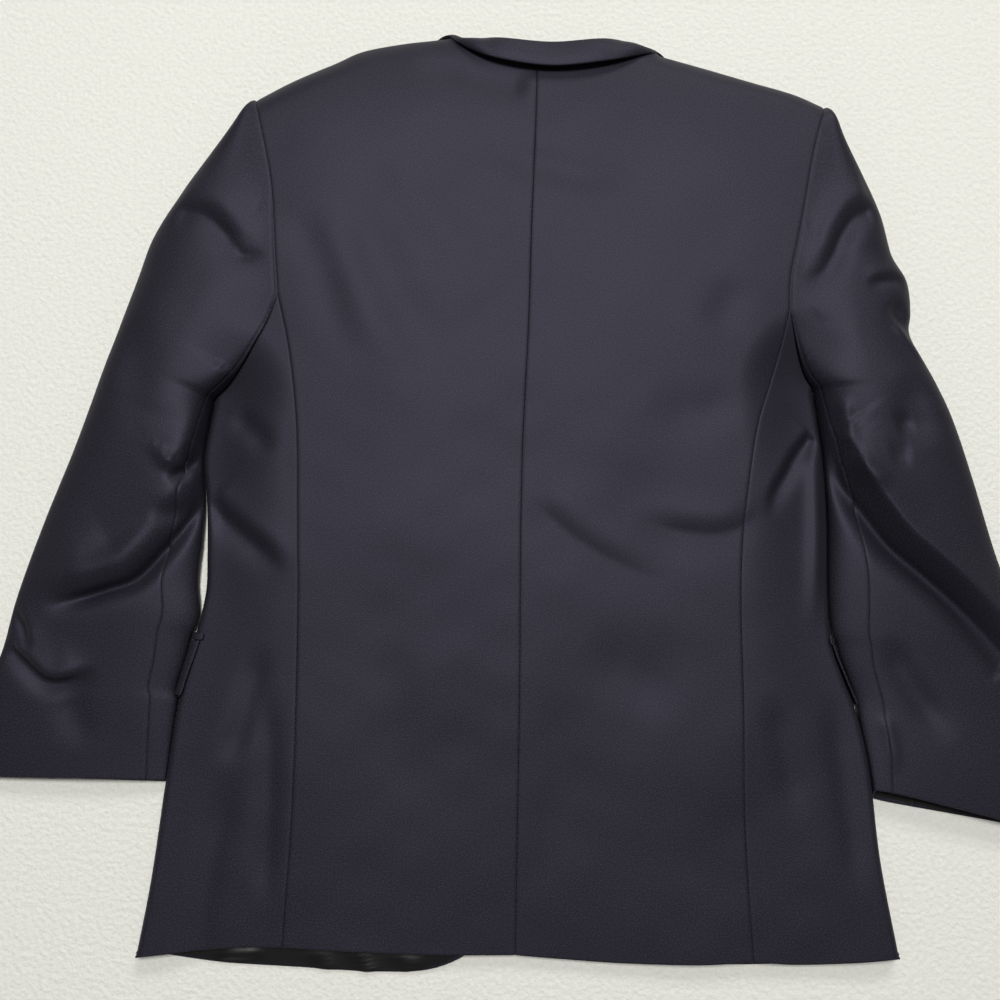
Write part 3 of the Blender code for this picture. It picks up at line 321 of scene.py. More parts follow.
# ---- lines and patches -------------------------------------------------------------------
def by_station(points):
    """A smooth line through the points: its shares, even from one given point to the next, and its points."""
    p = np.array(points, float)
    if len(p) < 3:
        return np.linspace(0, 1, 240), p[0] + np.linspace(0, 1, 240)[:, None] * (p[-1] - p[0])
    ends = np.vstack([2 * p[0] - p[1], p, 2 * p[-1] - p[-2]])
    knots = np.concatenate([[0], np.cumsum(np.linalg.norm(np.diff(ends, axis=0), axis=1) ** 0.5)])
    pieces = []
    for i in range(1, len(ends) - 2):
        k, q = knots[i - 1:i + 3], ends[i - 1:i + 3]
        t = np.linspace(k[1], k[2], 40, endpoint=False)[:, None]
        a = [((k[j + 1] - t) * q[j] + (t - k[j]) * q[j + 1]) / (k[j + 1] - k[j]) for j in range(3)]
        b = [((k[j + 2] - t) * a[j] + (t - k[j]) * a[j + 1]) / (k[j + 2] - k[j]) for j in range(2)]
        pieces.append(((k[2] - t) * b[0] + (t - k[1]) * b[1]) / (k[2] - k[1]))
    dense = np.vstack(pieces + [p[-1:]])
    return np.linspace(0, 1, len(dense)), dense


def smooth_line(points, samples=240):
    """Points close together on a smooth line through the given ones, evenly spaced."""
    dense = by_station(points)[1]
    reach = lengths(dense)
    even = np.linspace(0, reach[-1], samples)
    return np.stack([np.interp(even, reach, c) for c in dense.T], axis=1)


def lengths(points, axis=0):
    """How far each point of a line or grid is from its first one, along it."""
    steps = np.linalg.norm(np.diff(points, axis=axis), axis=-1)
    return np.insert(np.cumsum(steps, axis=axis), 0, 0, axis=axis)


def joined(*parts):
    """One line of several that meet end to end, each smooth in itself, and the shares where they meet."""
    lines = [smooth_line(p) for p in parts]
    each = [lengths(line)[-1] for line in lines]
    whole = np.vstack([lines[0]] + [line[1:] for line in lines[1:]])
    reach = lengths(whole)
    return (reach / reach[-1], whole), list(np.cumsum(each) / sum(each))[:-1]


def along(line, t):
    """The point at the share t of a line's length."""
    share, p = line if isinstance(line, tuple) else (np.linspace(0, 1, len(line)), line)
    return np.stack([np.interp(t, share, c) for c in p.T], axis=-1)


def coons(top, bottom, left, right, u, v):
    """A patch between four lines that share their corners: u runs left to right, v top to bottom."""
    u, v = np.broadcast_arrays(np.asarray(u, float), np.asarray(v, float))
    a, b, c, d = along(top, u), along(bottom, u), along(left, v), along(right, v)
    corner = [along(line, np.array(t)) for line, t in ((top, 0.0), (top, 1.0), (bottom, 0.0), (bottom, 1.0))]
    u, v = u[..., None], v[..., None]
    mixed = (1 - v) * ((1 - u) * corner[0] + u * corner[1]) + v * ((1 - u) * corner[2] + u * corner[3])
    return (1 - v) * a + v * b + (1 - u) * c + u * d - mixed


def ease(t):
    t = np.clip(t, 0, 1)
    return t * t * (3 - 2 * t)


def arch(t):
    """Quarter of a circle: upright at 0, level from 1 on."""
    return np.sqrt(1 - (1 - np.clip(t, 0, 1)) ** 2)


def column(rows, y, index):
    """A table's column at y, smooth between its rows. The first column holds y."""
    line = smooth_line([(row[0], row[index]) for row in rows], 400)
    if line[0, 0] > line[-1, 0]:
        line = line[::-1]
    return np.interp(y, line[:, 0], line[:, 1])


def near(line, xy):
    """From each point to a line: the distance, the line's share there, the side (+1 is left), the heading."""
    line = line[::2]
    flat = xy.reshape(-1, 2)
    best = np.empty(len(flat), int)
    for i in range(0, len(flat), 20000):
        gap = flat[i:i + 20000, None, :] - line[None]
        best[i:i + 20000] = (gap ** 2).sum(2).argmin(1)
    before, after = np.maximum(best - 1, 0), np.minimum(best + 1, len(line) - 1)
    run = line[after] - line[before]
    run /= np.linalg.norm(run, axis=1)[:, None]
    gap = flat - line[best]
    ahead = (gap * run).sum(1)
    inside = (best > 0) & (best < len(line) - 1)
    across = run[:, 0] * gap[:, 1] - run[:, 1] * gap[:, 0]
    dist = np.where(inside, np.abs(across), np.hypot(ahead, across))
    share = best / (len(line) - 1)
    shape = xy.shape[:-1]
    return dist.reshape(shape), share.reshape(shape), np.sign(across).reshape(shape), run.reshape(*shape, 2)


# ---- heights --------------------------------------------------------------------------------
BODY_EDGES = [[smooth_line(s[key]) for s, _ in HALVES] for key in ("fold", "shoulder")]


def folds_at(xy, table):
    """Height that a table's folds add at each point, and the plan's shift where a fold hangs over."""
    rise, shift = np.zeros(xy.shape[:-1]), np.zeros(xy.shape)
    for row in table.values():
        columns = FOLD_COLUMNS if len(row) > len(PLAIN_COLUMNS) + 1 else PLAIN_COLUMNS
        shape = PLAIN_FOLD | dict(zip(columns, row[1:]))
        line = smooth_line(row[0], 200)
        reach = 3 * max(shape["reach"], shape["trough"])
        low, high = line.min(0) - reach, line.max(0) + reach
        hit = ((xy > low) & (xy < high)).all(-1)
        if not hit.any():
            continue
        dist, share, side, run = near(line, xy[hit])
        strength = ease(share / shape["start"]) * ease((1 - share) / shape["end"])
        depth, top, crisp = shape["depth"], shape["rise"], shape["crisp"]
        flat = -depth * np.exp(-(dist / shape["trough"]) ** 2)
        angle = np.pi / 2 * np.clip(dist / shape["round"], 0, 1)
        climb = (1 - crisp) * np.sin(angle) + crisp * (1 - np.cos(angle))
        rolled = -depth + (depth + top * np.exp(-(dist / shape["reach"]) ** 2)) * climb
        on_roll = side * shape["roll"] > 0
        rise[hit] += strength * np.where(on_roll, rolled, flat)
        if shape["lip"]:
            off = np.where(on_roll, dist, 0)
            push = (shape["lip"] * strength * (1 - np.exp(-(off / LIP_SHAPE[0]) ** 2))
                    * np.exp(-(off / LIP_SHAPE[1]) ** 2))
            across = np.stack([run[:, 1], -run[:, 0]], axis=-1) * shape["roll"]
            shift[hit] += push[:, None] * across
    return rise, shift


def uneven(xy, seed, size, height):
    """Soft waves of many directions, about size mm long and height mm high."""
    rng = np.random.default_rng(seed)
    total = np.zeros(xy.shape[:-1])
    for _ in range(UNEVEN_WAVES):
        angle, length = rng.uniform(0, math.pi), size * rng.uniform(0.7, 1.8)
        phase = rng.uniform(0, 2 * math.pi)
        way = xy[..., 0] * math.cos(angle) + xy[..., 1] * math.sin(angle)
        total += np.sin(way * 2 * math.pi / length + phase)
    return total * height / math.sqrt(UNEVEN_WAVES)


def edge_distances(xy):
    """Distance to the nearer side edge of the body, and to the nearer shoulder seam."""
    return [np.minimum(*(near(line, xy)[0] for line in lines)) for lines in BODY_EDGES]


def back_height(xy):
    """Outer face of the back and side pieces on the upper side."""
    x, y = xy[..., 0], xy[..., 1]
    off_centre = ease(np.abs(x - BACK_MIDDLE) / SIDE_SPREAD)
    full = column(BACK_HEIGHT, y, 1) * (1 - off_centre) + column(BACK_HEIGHT, y, 2) * off_centre
    full = full + sum(uneven(xy, *wave) for wave in BODY_UNEVEN)
    d_fold, d_ridge = edge_distances(xy)
    z = FOLD_RADIUS * (1 + arch(d_fold / FOLD_RADIUS))
    z = z + (full - 2 * FOLD_RADIUS) * ease(d_fold / FOLD_RISE)
    z = z + folds_at(xy, BODY_FOLDS)[0] * ease(d_fold / BODY_FOLD_RISE)
    return RIDGE_HEIGHT + (z - RIDGE_HEIGHT) * arch(d_ridge / RIDGE_BACK)


def pad(x, y, x0, x1, y0, y1, soft):
    """1 inside a rectangle on the plan, fading to 0 over the soft width around it."""
    return (ease((x - x0 + soft) / soft) * ease((x1 + soft - x) / soft)
            * ease((y - y0 + soft) / soft) * ease((y1 + soft - y) / soft))


def lift(xy, s):
    """How far the layers below raise a front's outer face: lapel, flap, buttons and the other front."""
    x, y = xy[..., 0], xy[..., 1]
    d_roll = near(smooth_line(s["roll_line"]), xy)[0]
    lapel = (ease((LAPEL_WIDTH + LAPEL_SPREAD[0] - d_roll) / LAPEL_SOFT)
             * ease((y - LAPEL_FOOT_Y + LAPEL_SPREAD[1]) / LAPEL_SOFT))
    flap = pad(x * s["side"], y, *FLAP_PAD)
    closing = pad(x, y, *CLOSING_PAD)
    under = np.maximum(np.maximum(LAYER * lapel, FLAP_LAYER * flap), (BUTTON_HEIGHT + SEAM) * closing)
    return under + (LAYER * closing if s["side"] > 0 else 0)


def lift_at(d, xy, s):
    """The lift at the distance d from the body's edge, where it dies out."""
    return lift(xy, s) * arch((d - LIFT_FROM) / LIFT_OVER)


def front_height(xy, s):
    """Outer face of a front, which looks down: level where it rests, rising round the body's edges."""
    d_fold, d_ridge = edge_distances(xy)
    z = FOLD_RADIUS * (1 - arch(d_fold / FOLD_RADIUS))
    z = z + lift_at(d_fold, xy, s) + folds_at(xy, FRONT_FOLDS)[0]
    return z + (RIDGE_HEIGHT - z) * (1 - arch(d_ridge / RIDGE_FRONT))


# ---- surfaces of the pieces: each takes shares (u, v) and gives points in mm ------------------
def with_height(xy, z):
    return np.concatenate([xy, z[..., None]], axis=-1)


def back_piece(s):
    top, (neck,) = joined(s["shoulder"], s["back_neck"])
    left, (arm,) = joined(s["armhole"], s["side_seam"])
    bottom, right = smooth_line(s["back_hem"]), smooth_line(CENTRE_SEAM)

    def surface(u, v):
        xy = coons(top, bottom, left, right, u, v)
        return with_height(xy, back_height(xy))
    return surface, neck, arm


def side_width(s):
    """Plan of the side piece's upper part, from the side seam (u 0) to the body's edge (u 1)."""
    top, bottom = smooth_line(s["underarm"]), smooth_line(s["hem"])[::-1]
    left, right = smooth_line(s["side_seam"]), smooth_line(s["fold"])

    def plan(u, v):
        return coons(top, bottom, left, right, u, v)

    def width(v):
        return np.linalg.norm(plan(np.zeros_like(v), v) - plan(np.ones_like(v), v), axis=-1)
    return plan, width


def side_piece(s):
    """u 0 is the side seam, SIDE_TURN where it turns round the body's edge, 1 the front seam underneath."""
    plan, width = side_width(s)
    r = FOLD_RADIUS
    first, last = SIDE_TURN

    def surface(u, v):
        u, v = np.broadcast_arrays(np.asarray(u, float), np.asarray(v, float))
        w = width(v)
        turn = np.pi * (np.clip((u - first) / (last - first), 0, 1) - 0.5)       # -90 to 90 degrees
        d_top = r + (w - r) * (1 - np.clip(u / first, 0, 1))
        d_under = r + (FRONT_SEAM_IN - r) * np.clip((u - last) / (1 - last), 0, 1)
        d = np.where(u < first, d_top, np.where(u > last, d_under, r * (1 - np.cos(turn))))
        xy = plan(1 - d / w, v)
        under = r * (1 - np.sin(turn)) + lift_at(d, xy, s)
        return with_height(xy, np.where(u < (first + last) / 2, back_height(xy), under))
    return surface


def underarm_end(s):
    """The last stretch of the underarm line, which the side piece also follows on the underside."""
    line = smooth_line(s["underarm"])
    width = np.linalg.norm(line[-1] - line[0])
    return along(line, np.linspace(1 - FRONT_SEAM_IN / width, 1, 13))


def front_seam(s):
    plan, width = side_width(s)
    v = np.linspace(0, 1, 240)
    return plan(1 - FRONT_SEAM_IN / width(v), v)


def front_arm(s):
    """The front's armhole, from the shoulder to the seam under the arm."""
    return smooth_line([*s["front_armhole"], tuple(front_seam(s)[0])])

def front_piece(s):
    """u 0 is the armhole and front seam, u 1 the roll line and front edge."""
    arm, seam = front_arm(s), front_seam(s)
    whole = np.vstack([arm, seam[1:]])
    reach = lengths(whole)
    left = (reach / reach[-1], whole)
    right, _ = joined(s["roll_line"], s["front_edge"])
    hem = smooth_line([tuple(seam[-1])] + list(s["front_hem"][1:]))
    top = smooth_line(s["shoulder"])

    def surface(u, v):
        xy = coons(top, hem, left, right, u, v)
        return with_height(xy, front_height(xy, s))
    return surface, lengths(arm)[-1] / reach[-1]


def sleeve_inner(s):
    """The sleeve's edge beside the body, clear of the body's own edge."""
    fold = smooth_line(s["fold"])
    y = np.linspace(s["fold"][0][1], s["cuff"][1], 240)
    x = np.interp(-y, -fold[:, 1], fold[:, 0]) + s["side"] * column(s["clearance"], y, 1)
    return np.stack([x, y], axis=1)


def stitched(lines, shares):
    """One line of several, each of which takes up a stretch of the shares."""
    share = [np.linspace(a, b, len(line)) for line, a, b in zip(lines, shares, shares[1:])]
    keep = [slice(None)] + [slice(1, None)] * (len(lines) - 1)
    return (np.concatenate([t[k] for t, k in zip(share, keep)]),
            np.vstack([line[k] for line, k in zip(lines, keep)]))


def front_arm_share(s):
    """The sleeve leaves the front's armhole here, so that its rows meet the side piece evenly."""
    line = smooth_line(s["underarm"])
    return UNDERARM - (UNDERARM - BACK_ARM) * FRONT_SEAM_IN / np.linalg.norm(line[-1] - line[0])


def bulge(t, power):
    """0 at the ends of 0 to 1, 1 in the middle, upright at the ends."""
    return (1 - np.abs(1 - 2 * t) ** power) ** (1 / power)


def sleeve_tube(s):
    """The sleeve: turn 0 is its outer edge, 0 to 0.5 its upper side, 0.5 its inner edge or the armhole."""
    inner = sleeve_inner(s)
    upper = stitched([smooth_line(s["armhole"]), smooth_line(s["underarm"]), inner],
                     (0, BACK_ARM, UNDERARM, 1))
    lower = stitched([front_arm(s), underarm_end(s), inner], (0, front_arm_share(s), UNDERARM, 1))
    outer = smooth_line(s["sleeve_outer"])
    folds = SLEEVE_FOLDS["left" if s["side"] < 0 else "right"]

    def surface(turn, share):
        turn, share = np.broadcast_arrays(np.asarray(turn, float), np.asarray(share, float))
        share = np.clip(share, 0, 1)
        theta = 2 * np.pi * turn
        w = (1 - np.cos(theta)) / 2
        is_upper = np.sin(theta) >= 0
        out, up, low = along(outer, share), along(upper, share), along(lower, share)
        xy_up = out + (up - out) * w[..., None]
        xy_low = out + (low - out) * w[..., None]
        crown, out_z, in_z = (column(SLEEVE_HEIGHT, share, i) for i in (1, 2, 3))
        opening = ease((share - CUFF_FROM) / (1 - CUFF_FROM))
        crown, in_z = crown + s["cuff_rise"] * opening, in_z + s["cuff_rise"] * opening
        on_body = share <= UNDERARM
        end_up = np.where(on_body, back_height(up), in_z)
        end_low = np.where(on_body, front_height(low, s), in_z)
        join = ease((share - SLEEVE_JOIN[0]) / (SLEEVE_JOIN[1] - SLEEVE_JOIN[0]))
        crown = end_up + (crown - end_up) * join
        foot_up, foot_low = np.where(w < 0.5, out_z, end_up), np.where(w < 0.5, out_z, end_low)
        added, shift = folds_at(xy_up, folds)
        added = added + sum(uneven(xy_up, *wave) for wave in SLEEVE_UNEVEN)
        top = crown + added * join
        span = SLEEVE_LOW - SLEEVE_LEAST
        top = np.where(top < SLEEVE_LOW, SLEEVE_LEAST + span * np.exp((top - SLEEVE_LOW) / span), top)
        level = ease((UNDERARM - share) / (UNDERARM - BACK_ARM)) * (w > 0.5)
        profile = bulge(w, CROWN_POWER) * (1 - level) + ease(2 * (1 - w)) * level
        z_up = foot_up + (top - foot_up) * profile
        z_low = foot_low + (end_low * (1 - join) - foot_low) * bulge(w, SOLE_POWER)
        in_way = np.linalg.norm(up - out, axis=-1)
        free = ease(in_way * (1 - w) / FOLD_FADE) * ease(in_way * w / FOLD_FADE) * join
        xy_up = xy_up + shift * free[..., None]
        xy = np.where(is_upper[..., None], xy_up, xy_low)
        z = np.where(is_upper, z_up, z_low)
        xy[..., 1] -= s["mouth"] * opening * w * np.clip(1 - z / (2 * in_z), 0, 1)
        return with_height(xy, z)
    return surface


def seam_turn(rows, share):
    w = np.interp(share, *np.array(smooth_line(rows)).T)
    return np.arccos(1 - 2 * np.clip(w, 0, 1)) / (2 * np.pi)


def sleeve_piece(s, part):
    """part "top" goes from the fore seam over the outer edge to the hind seam, "under" fills the rest."""
    tube = sleeve_tube(s)

    def surface(u, v):
        hind = np.minimum(seam_turn(HIND_SEAM, v), 0.5 - TOUCH)
        fore = 1 - seam_turn(FORE_SEAM, v)
        if part == "under":
            first, last = hind, np.where(v <= UNDERARM, 0.5 - TOUCH, np.maximum(fore, 0.5 - TOUCH))
        else:
            first, last = np.maximum(fore, 0.5 + TOUCH), 1 + hind
        return tube((first + (last - first) * u) % 1.0, v)
    return surface


def collar_fall():
    """u runs from notch to notch, v from the fall's outer edge over its crown to the roll."""
    edge = by_station([row[1] for row in COLLAR])
    roll = by_station([row[2] for row in COLLAR])
    crown = by_station([(i, row[3]) for i, row in enumerate(COLLAR)])

    def surface(u, v):
        e, r, rise = along(edge, u), along(roll, u), along(crown, u)[..., 1]
        mid = e + (r - e) * v[..., None]
        mid[..., 2] += rise * np.sin(np.pi * np.clip(v, 0, 1)) ** 0.8
        mid[..., 2] = np.maximum(mid[..., 2], 0)
        return mid
    return surface


def collar_stand():
    """u runs along the neck seam, v from it up to the roll, under the fall."""
    neck, _ = joined(LEFT["back_neck"], RIGHT["back_neck"][::-1])
    roll = by_station(COLLAR_STAND_TOP)

    def surface(u, v):
        share = STAND_FROM + (STAND_TO - STAND_FROM) * u
        foot, head = along(neck, share), along(roll, share)
        low = with_height(foot + np.array([0, 1.4]), back_height(foot))
        high = head - np.array([0, 0.8, CLOTH + 1.0])
        rise = np.sin(np.pi / 2 * v)[..., None]
        mid = low + (high - low) * v[..., None]
        mid[..., 2:] = low[..., 2:] + (high[..., 2:] - low[..., 2:]) * rise
        return mid
    return surface


def lapel(s):
    side = s["side"]
    roll = smooth_line(s["roll_line"])

    def surface(u, v):
        y = s["notch_y"] + (LAPEL_FOOT_Y - s["notch_y"]) * v
        share = (y - LAPEL_FOOT_Y) / (s["notch_y"] - LAPEL_FOOT_Y)
        x = np.interp(y, roll[::-1, 1], roll[::-1, 0])
        width = (LAPEL_WIDTH - LAPEL_LEAST) * np.sin(np.pi / 2 * np.clip(share, 0, 1)) ** 0.9 + LAPEL_LEAST
        return np.stack([x + side * width * (1 - u), y, 0 * y], axis=-1)
    return surface


def flap_surface(s, top_y, bottom_y, starts, length, lift_end):
    """A strip on the body's outside that runs from the upper side round the edge to the underside."""
    fold = smooth_line(s["fold"])
    r = FOLD_RADIUS
    quarter = r * math.pi / 2

    def surface(u, v):
        y = top_y + (bottom_y - top_y) * v
        start = starts[0] + (starts[1] - starts[0]) * v
        q = -start + (length + start) * u
        edge_x = np.interp(-y, -fold[:, 1], fold[:, 0])
        turn = np.clip(q / r, -math.pi / 2, math.pi / 2)
        d = r * (1 - np.cos(turn)) + np.maximum(np.abs(q) - quarter, 0)
        xy = np.stack([edge_x - s["side"] * d, y], axis=-1)
        hang = r * (1 - np.sin(turn))
        upper = np.where(q < -quarter, back_height(xy), hang)
        z = np.where(q < 0, upper, lift_at(d, xy, s) + hang)
        slack = lift_end * v * np.clip(1 - u * 6, 0, 1) ** 1.5
        xy[..., 0] += s["side"] * slack
        return with_height(xy, z + slack * 0.6)
    return surface


# ---- shells ---------------------------------------------------------------------------------
def shares(length, step, start=SEAM_STEPS, end=SEAM_STEPS, stops=()):
    """Shares of a length in mm: close together at its ends, about step apart between, with the stops hit."""
    first, last = np.array(start) / length, 1 - np.array(end[::-1]) / length
    marks = [first[-1], *[t for t in stops if first[-1] + 0.005 < t < last[0] - 0.005], last[0]]
    middle = [np.linspace(a, b, max(2, math.ceil((b - a) * length / step)), endpoint=False)
              for a, b in zip(marks, marks[1:])]
    return np.concatenate([first[:-1], *middle, last])


def unit(vectors, least=1e-12):
    """The vectors at length 1, or shorter where they are shorter than least."""
    return vectors / np.maximum(np.linalg.norm(vectors, axis=-1, keepdims=True), least)


def grid_normals(points, flip):
    """Unit normals of a grid of points, from its neighbours."""
    n = unit(np.cross(np.gradient(points, axis=1), np.gradient(points, axis=0)))
    return -n if flip else n


def softened(field, times):
    """A grid of vectors averaged with its neighbours, its borders too, and made unit length again."""
    for _ in range(times):
        p = np.pad(field, ((1, 1), (1, 1), (0, 0)), mode="edge")
        field = (2 * p[1:-1, 1:-1] + p[:-2, 1:-1] + p[2:, 1:-1] + p[1:-1, :-2] + p[1:-1, 2:]) / 6
    return unit(field)


def borders(rows, cols):
    """The rows and the columns of a grid's border points, all round."""
    ring = ([(0, j) for j in range(cols)] + [(i, cols - 1) for i in range(1, rows)]
            + [(rows - 1, j) for j in range(cols - 2, -1, -1)] + [(i, 0) for i in range(rows - 2, 0, -1)])
    return np.array(ring).T


def drawn_in(points, amounts):
    """Moves a grid's borders inwards along the cloth, by the amounts for top, bottom, left and right."""
    for axis in (0, 1):
        moved = np.moveaxis(points.copy(), axis, 0)
        for edge, next_in, amount in ((0, 1, amounts[2 * axis]), (-1, -2, amounts[2 * axis + 1])):
            moved[edge] -= unit(moved[edge] - moved[next_in], 1e-9) * amount
        points = np.moveaxis(moved, 0, axis)
    return points


def linked(name, data):
    made = bpy.data.objects.new(name, data)
    bpy.context.scene.collection.objects.link(made)
    return made


def shell(name, surface, us, vs, kinds, flip=False, offset=0.0, turn_up=(0, 0, 0, 0)):
    """A closed thin wall of cloth, and its area: an outer face, a turned or sewn rim, a lined inner face.

    kinds says for top, bottom, left and right whether the border is a "seam", which dips towards its
    neighbour, or an "edge", which is turned. turn_up is how far the outer cloth reaches inside there.
    """
    cut = bpy.context.scene.coat_cut
    thick = cut.thickness / MM
    rim = ROUND_OUT * thick / 2
    face = surface(*np.meshgrid(us, vs))
    n = grid_normals(face, flip)
    n[0, np.abs(n[0, :, 2]) < 0.5, 2] = 0
    n = unit(n)
    face = face + n * offset
    in_row, in_col = lengths(face, 1), lengths(face, 0)
    away = (in_col, in_col[-1:] - in_col, in_row, in_row[:, -1:] - in_row)
    sewn = [kind == "seam" for kind in kinds]
    dip = sum(np.exp(-(d / (cut.seam_reach / MM)) ** 2) for d, is_seam in zip(away, sewn) if is_seam)
    face = face - n * (np.minimum(dip, 1) * cut.seam_dip / MM)[..., None]
    outer = drawn_in(face, [cut.seam_gap / 2 / MM if is_seam else rim for is_seam in sewn])
    inner = outer - softened(n, 4) * thick
    outer[..., 2] = np.maximum(outer[..., 2], 0)
    inner[..., 2] = np.maximum(inner[..., 2], INNER_LEAST)

    rows, cols = face.shape[:2]
    count = rows * cols
    i, j = borders(rows, cols)
    a, b = outer[i, j], inner[i, j]
    out_way = np.zeros(a.shape)
    for hit, down, across, is_seam in ((i == 0, 1, 0, sewn[0]), (i == rows - 1, -1, 0, sewn[1]),
                                       (j == 0, 0, 1, sewn[2]), (j == cols - 1, 0, -1, sewn[3])):
        if not is_seam:
            next_in = outer[np.clip(i + down, 0, rows - 1), np.clip(j + across, 0, cols - 1)]
            out_way += np.where(hit[:, None], unit(a - next_in, 1e-9), 0)
    out_way = unit(out_way, 1)
    hoops = [(a + b) / 2 + (a - b) / 2 * math.cos(angle) + out_way * (rim * math.sin(angle))
             for angle in (math.pi * k / ROUND_STEPS for k in range(1, ROUND_STEPS))]
    points = np.concatenate([outer.reshape(-1, 3), inner.reshape(-1, 3), *hoops])
    points[:, 2] = np.maximum(points[:, 2], 0)
    ids = i * cols + j
    spots = np.stack([in_row - in_row[:, cols // 2:cols // 2 + 1], away[1]], axis=-1).reshape(-1, 2)
    spots = np.concatenate([spots, spots] + [spots[ids]] * (ROUND_STEPS - 1)) * MM

    grid = np.arange(count).reshape(rows, cols)
    q = np.stack([grid[:-1, :-1], grid[:-1, 1:], grid[1:, 1:], grid[1:, :-1]], axis=-1).reshape(-1, 4)
    hoop = np.arange(len(ids))
    circles = [ids, *(2 * count + k * len(ids) + hoop for k in range(ROUND_STEPS - 1)), ids + count]
    faces = np.concatenate([q, q[:, ::-1] + count]
                           + [np.stack([np.roll(one, -1), one, two, np.roll(two, -1)], axis=-1)
                              for one, two in zip(circles, circles[1:])])
    slots = np.zeros(len(faces), int)
    lined = np.all([d >= reach for d, reach in zip(away, turn_up)], axis=0)
    slots[len(q):2 * len(q)] = lined[:-1, :-1].ravel()
    if flip:
        faces = faces[:, ::-1]
    mesh = bpy.data.meshes.new(name)
    mesh.vertices.add(len(points))
    mesh.vertices.foreach_set("co", (points * MM).ravel())
    mesh.loops.add(faces.size)
    mesh.loops.foreach_set("vertex_index", faces.ravel())
    mesh.polygons.add(len(faces))
    mesh.polygons.foreach_set("loop_start", np.arange(0, faces.size, 4))
    mesh.polygons.foreach_set("material_index", slots)
    mesh.update(calc_edges=True)
    mesh.validate()
    mesh.shade_smooth()
    mesh.uv_layers.new(name=CLOTH_MAP).data.foreach_set("uv", spots[faces.ravel()].ravel())
    area = np.linalg.norm(np.cross(np.diff(face, axis=0)[:, :-1], np.diff(face, axis=1)[:-1]), axis=-1).sum()
    return linked(name, mesh), float(area) * MM * MM


# ---- materials -----------------------------------------------------------------------------
WAVE_PERIOD = 0.314    # a wave texture of scale 1 repeats after this length
WALE_SHARE = 0.35      # the twill's relief beside that of the yarn


def linear(hex_colour):
    """An sRGB hex colour such as "#3a3845" as the linear values that shaders take."""
    values = [int(hex_colour[i:i + 2], 16) / 255 for i in (1, 3, 5)]
    return tuple(v / 12.92 if v <= 0.04045 else ((v + 0.055) / 1.055) ** 2.4 for v in values) + (1.0,)


def add(tree, kind, links=None, **settings):
    """A node with its settings. links are its inputs: a value, or another node's output socket."""
    node = tree.nodes.new(kind)
    for key, value in settings.items():
        setattr(node, key, value)
    for key, value in (links or {}).items():
        if isinstance(value, bpy.types.NodeSocket):
            tree.links.new(value, node.inputs[key])
        else:
            node.inputs[key].default_value = value
    return node


def blank_material(name, on_cloth=False):
    """An empty material, its tree, and the place that its patterns read: on the cloth, or in space."""
    made = bpy.data.materials.new(name)
    made.use_nodes = True
    tree = made.node_tree
    tree.nodes.clear()
    if on_cloth:
        return made, tree, add(tree, "ShaderNodeUVMap", uv_map=CLOTH_MAP).outputs["UV"]
    return made, tree, add(tree, "ShaderNodeTexCoord").outputs["Object"]


def finished(made, **inputs):
    """Gives a material its shader. The inputs' names have _ for each space."""
    named = {key.replace("_", " "): value for key, value in inputs.items()}
    shader = add(made.node_tree, "ShaderNodeBsdfPrincipled", named)
    add(made.node_tree, "ShaderNodeOutputMaterial", {"Surface": shader.outputs["BSDF"]})
    return made


def noise(tree, place, scale, detail=2.0, **inputs):
    links = {"Vector": place, "Scale": scale, "Detail": detail, **inputs}
    return add(tree, "ShaderNodeTexNoise", links).outputs["Fac"]


def bumps(tree, height, strength, distance):
    links = {"Height": height, "Strength": strength, "Distance": distance}
    return add(tree, "ShaderNodeBump", links).outputs["Normal"]


def ramp(tree, factor, *stops):
    node = add(tree, "ShaderNodeValToRGB", {"Fac": factor})
    node.color_ramp.elements[0].position, node.color_ramp.elements[0].color = stops[0]
    node.color_ramp.elements[1].position, node.color_ramp.elements[1].color = stops[-1]
    for position, colour in stops[1:-1]:
        node.color_ramp.elements.new(position).color = colour
    return node.outputs["Color"]


@functools.cache
def worsted_wool():
    """Worsted wool suiting: fine combed yarn, woven and lightly raised, so matt with a soft nap."""
    cut = bpy.context.scene.coat_cut
    made, tree, place = blank_material("worsted_wool_suiting", on_cloth=True)
    # Mottled yarn: real fibres are far finer than a pixel, so the mottle is drawn at about a millimetre.
    mottle = noise(tree, place, 1 / cut.mottle_size, Roughness=0.6)
    yarn = ramp(tree, mottle, (0.32, linear("#100f13")), (0.5, linear("#1c1b20")), (0.7, linear("#35343c")))
    cast = ramp(tree, noise(tree, place, 14.0), (0.3, (0.84, 0.84, 0.87, 1)), (0.7, (1.0, 1.0, 1.0, 1)))
    colour = add(tree, "ShaderNodeMix", {"Factor": 1.0, 6: yarn, 7: cast}, data_type="RGBA",
                 blend_type="MULTIPLY").outputs[2]
    # Twill wales, drawn coarser than the real 0.5 mm so that they show.
    wale = add(tree, "ShaderNodeTexWave", {"Vector": place, "Scale": WAVE_PERIOD / cut.wale_spacing,
                                           "Distortion": 1.2, "Detail": 1.0, "Detail Scale": 1.5},
               wave_type="BANDS", bands_direction="DIAGONAL").outputs["Fac"]
    height = add(tree, "ShaderNodeMath", {0: wale, 1: WALE_SHARE, 2: mottle},
                 operation="MULTIPLY_ADD").outputs[0]
    return finished(made, Base_Color=colour, Normal=bumps(tree, height, 0.3, 0.00016), Roughness=0.58,
                    Specular_IOR_Level=0.42, Specular_Tint=linear("#dcd7fa"), Sheen_Weight=0.01,
                    Sheen_Roughness=0.5, Sheen_Tint=linear("#8a88a0"))


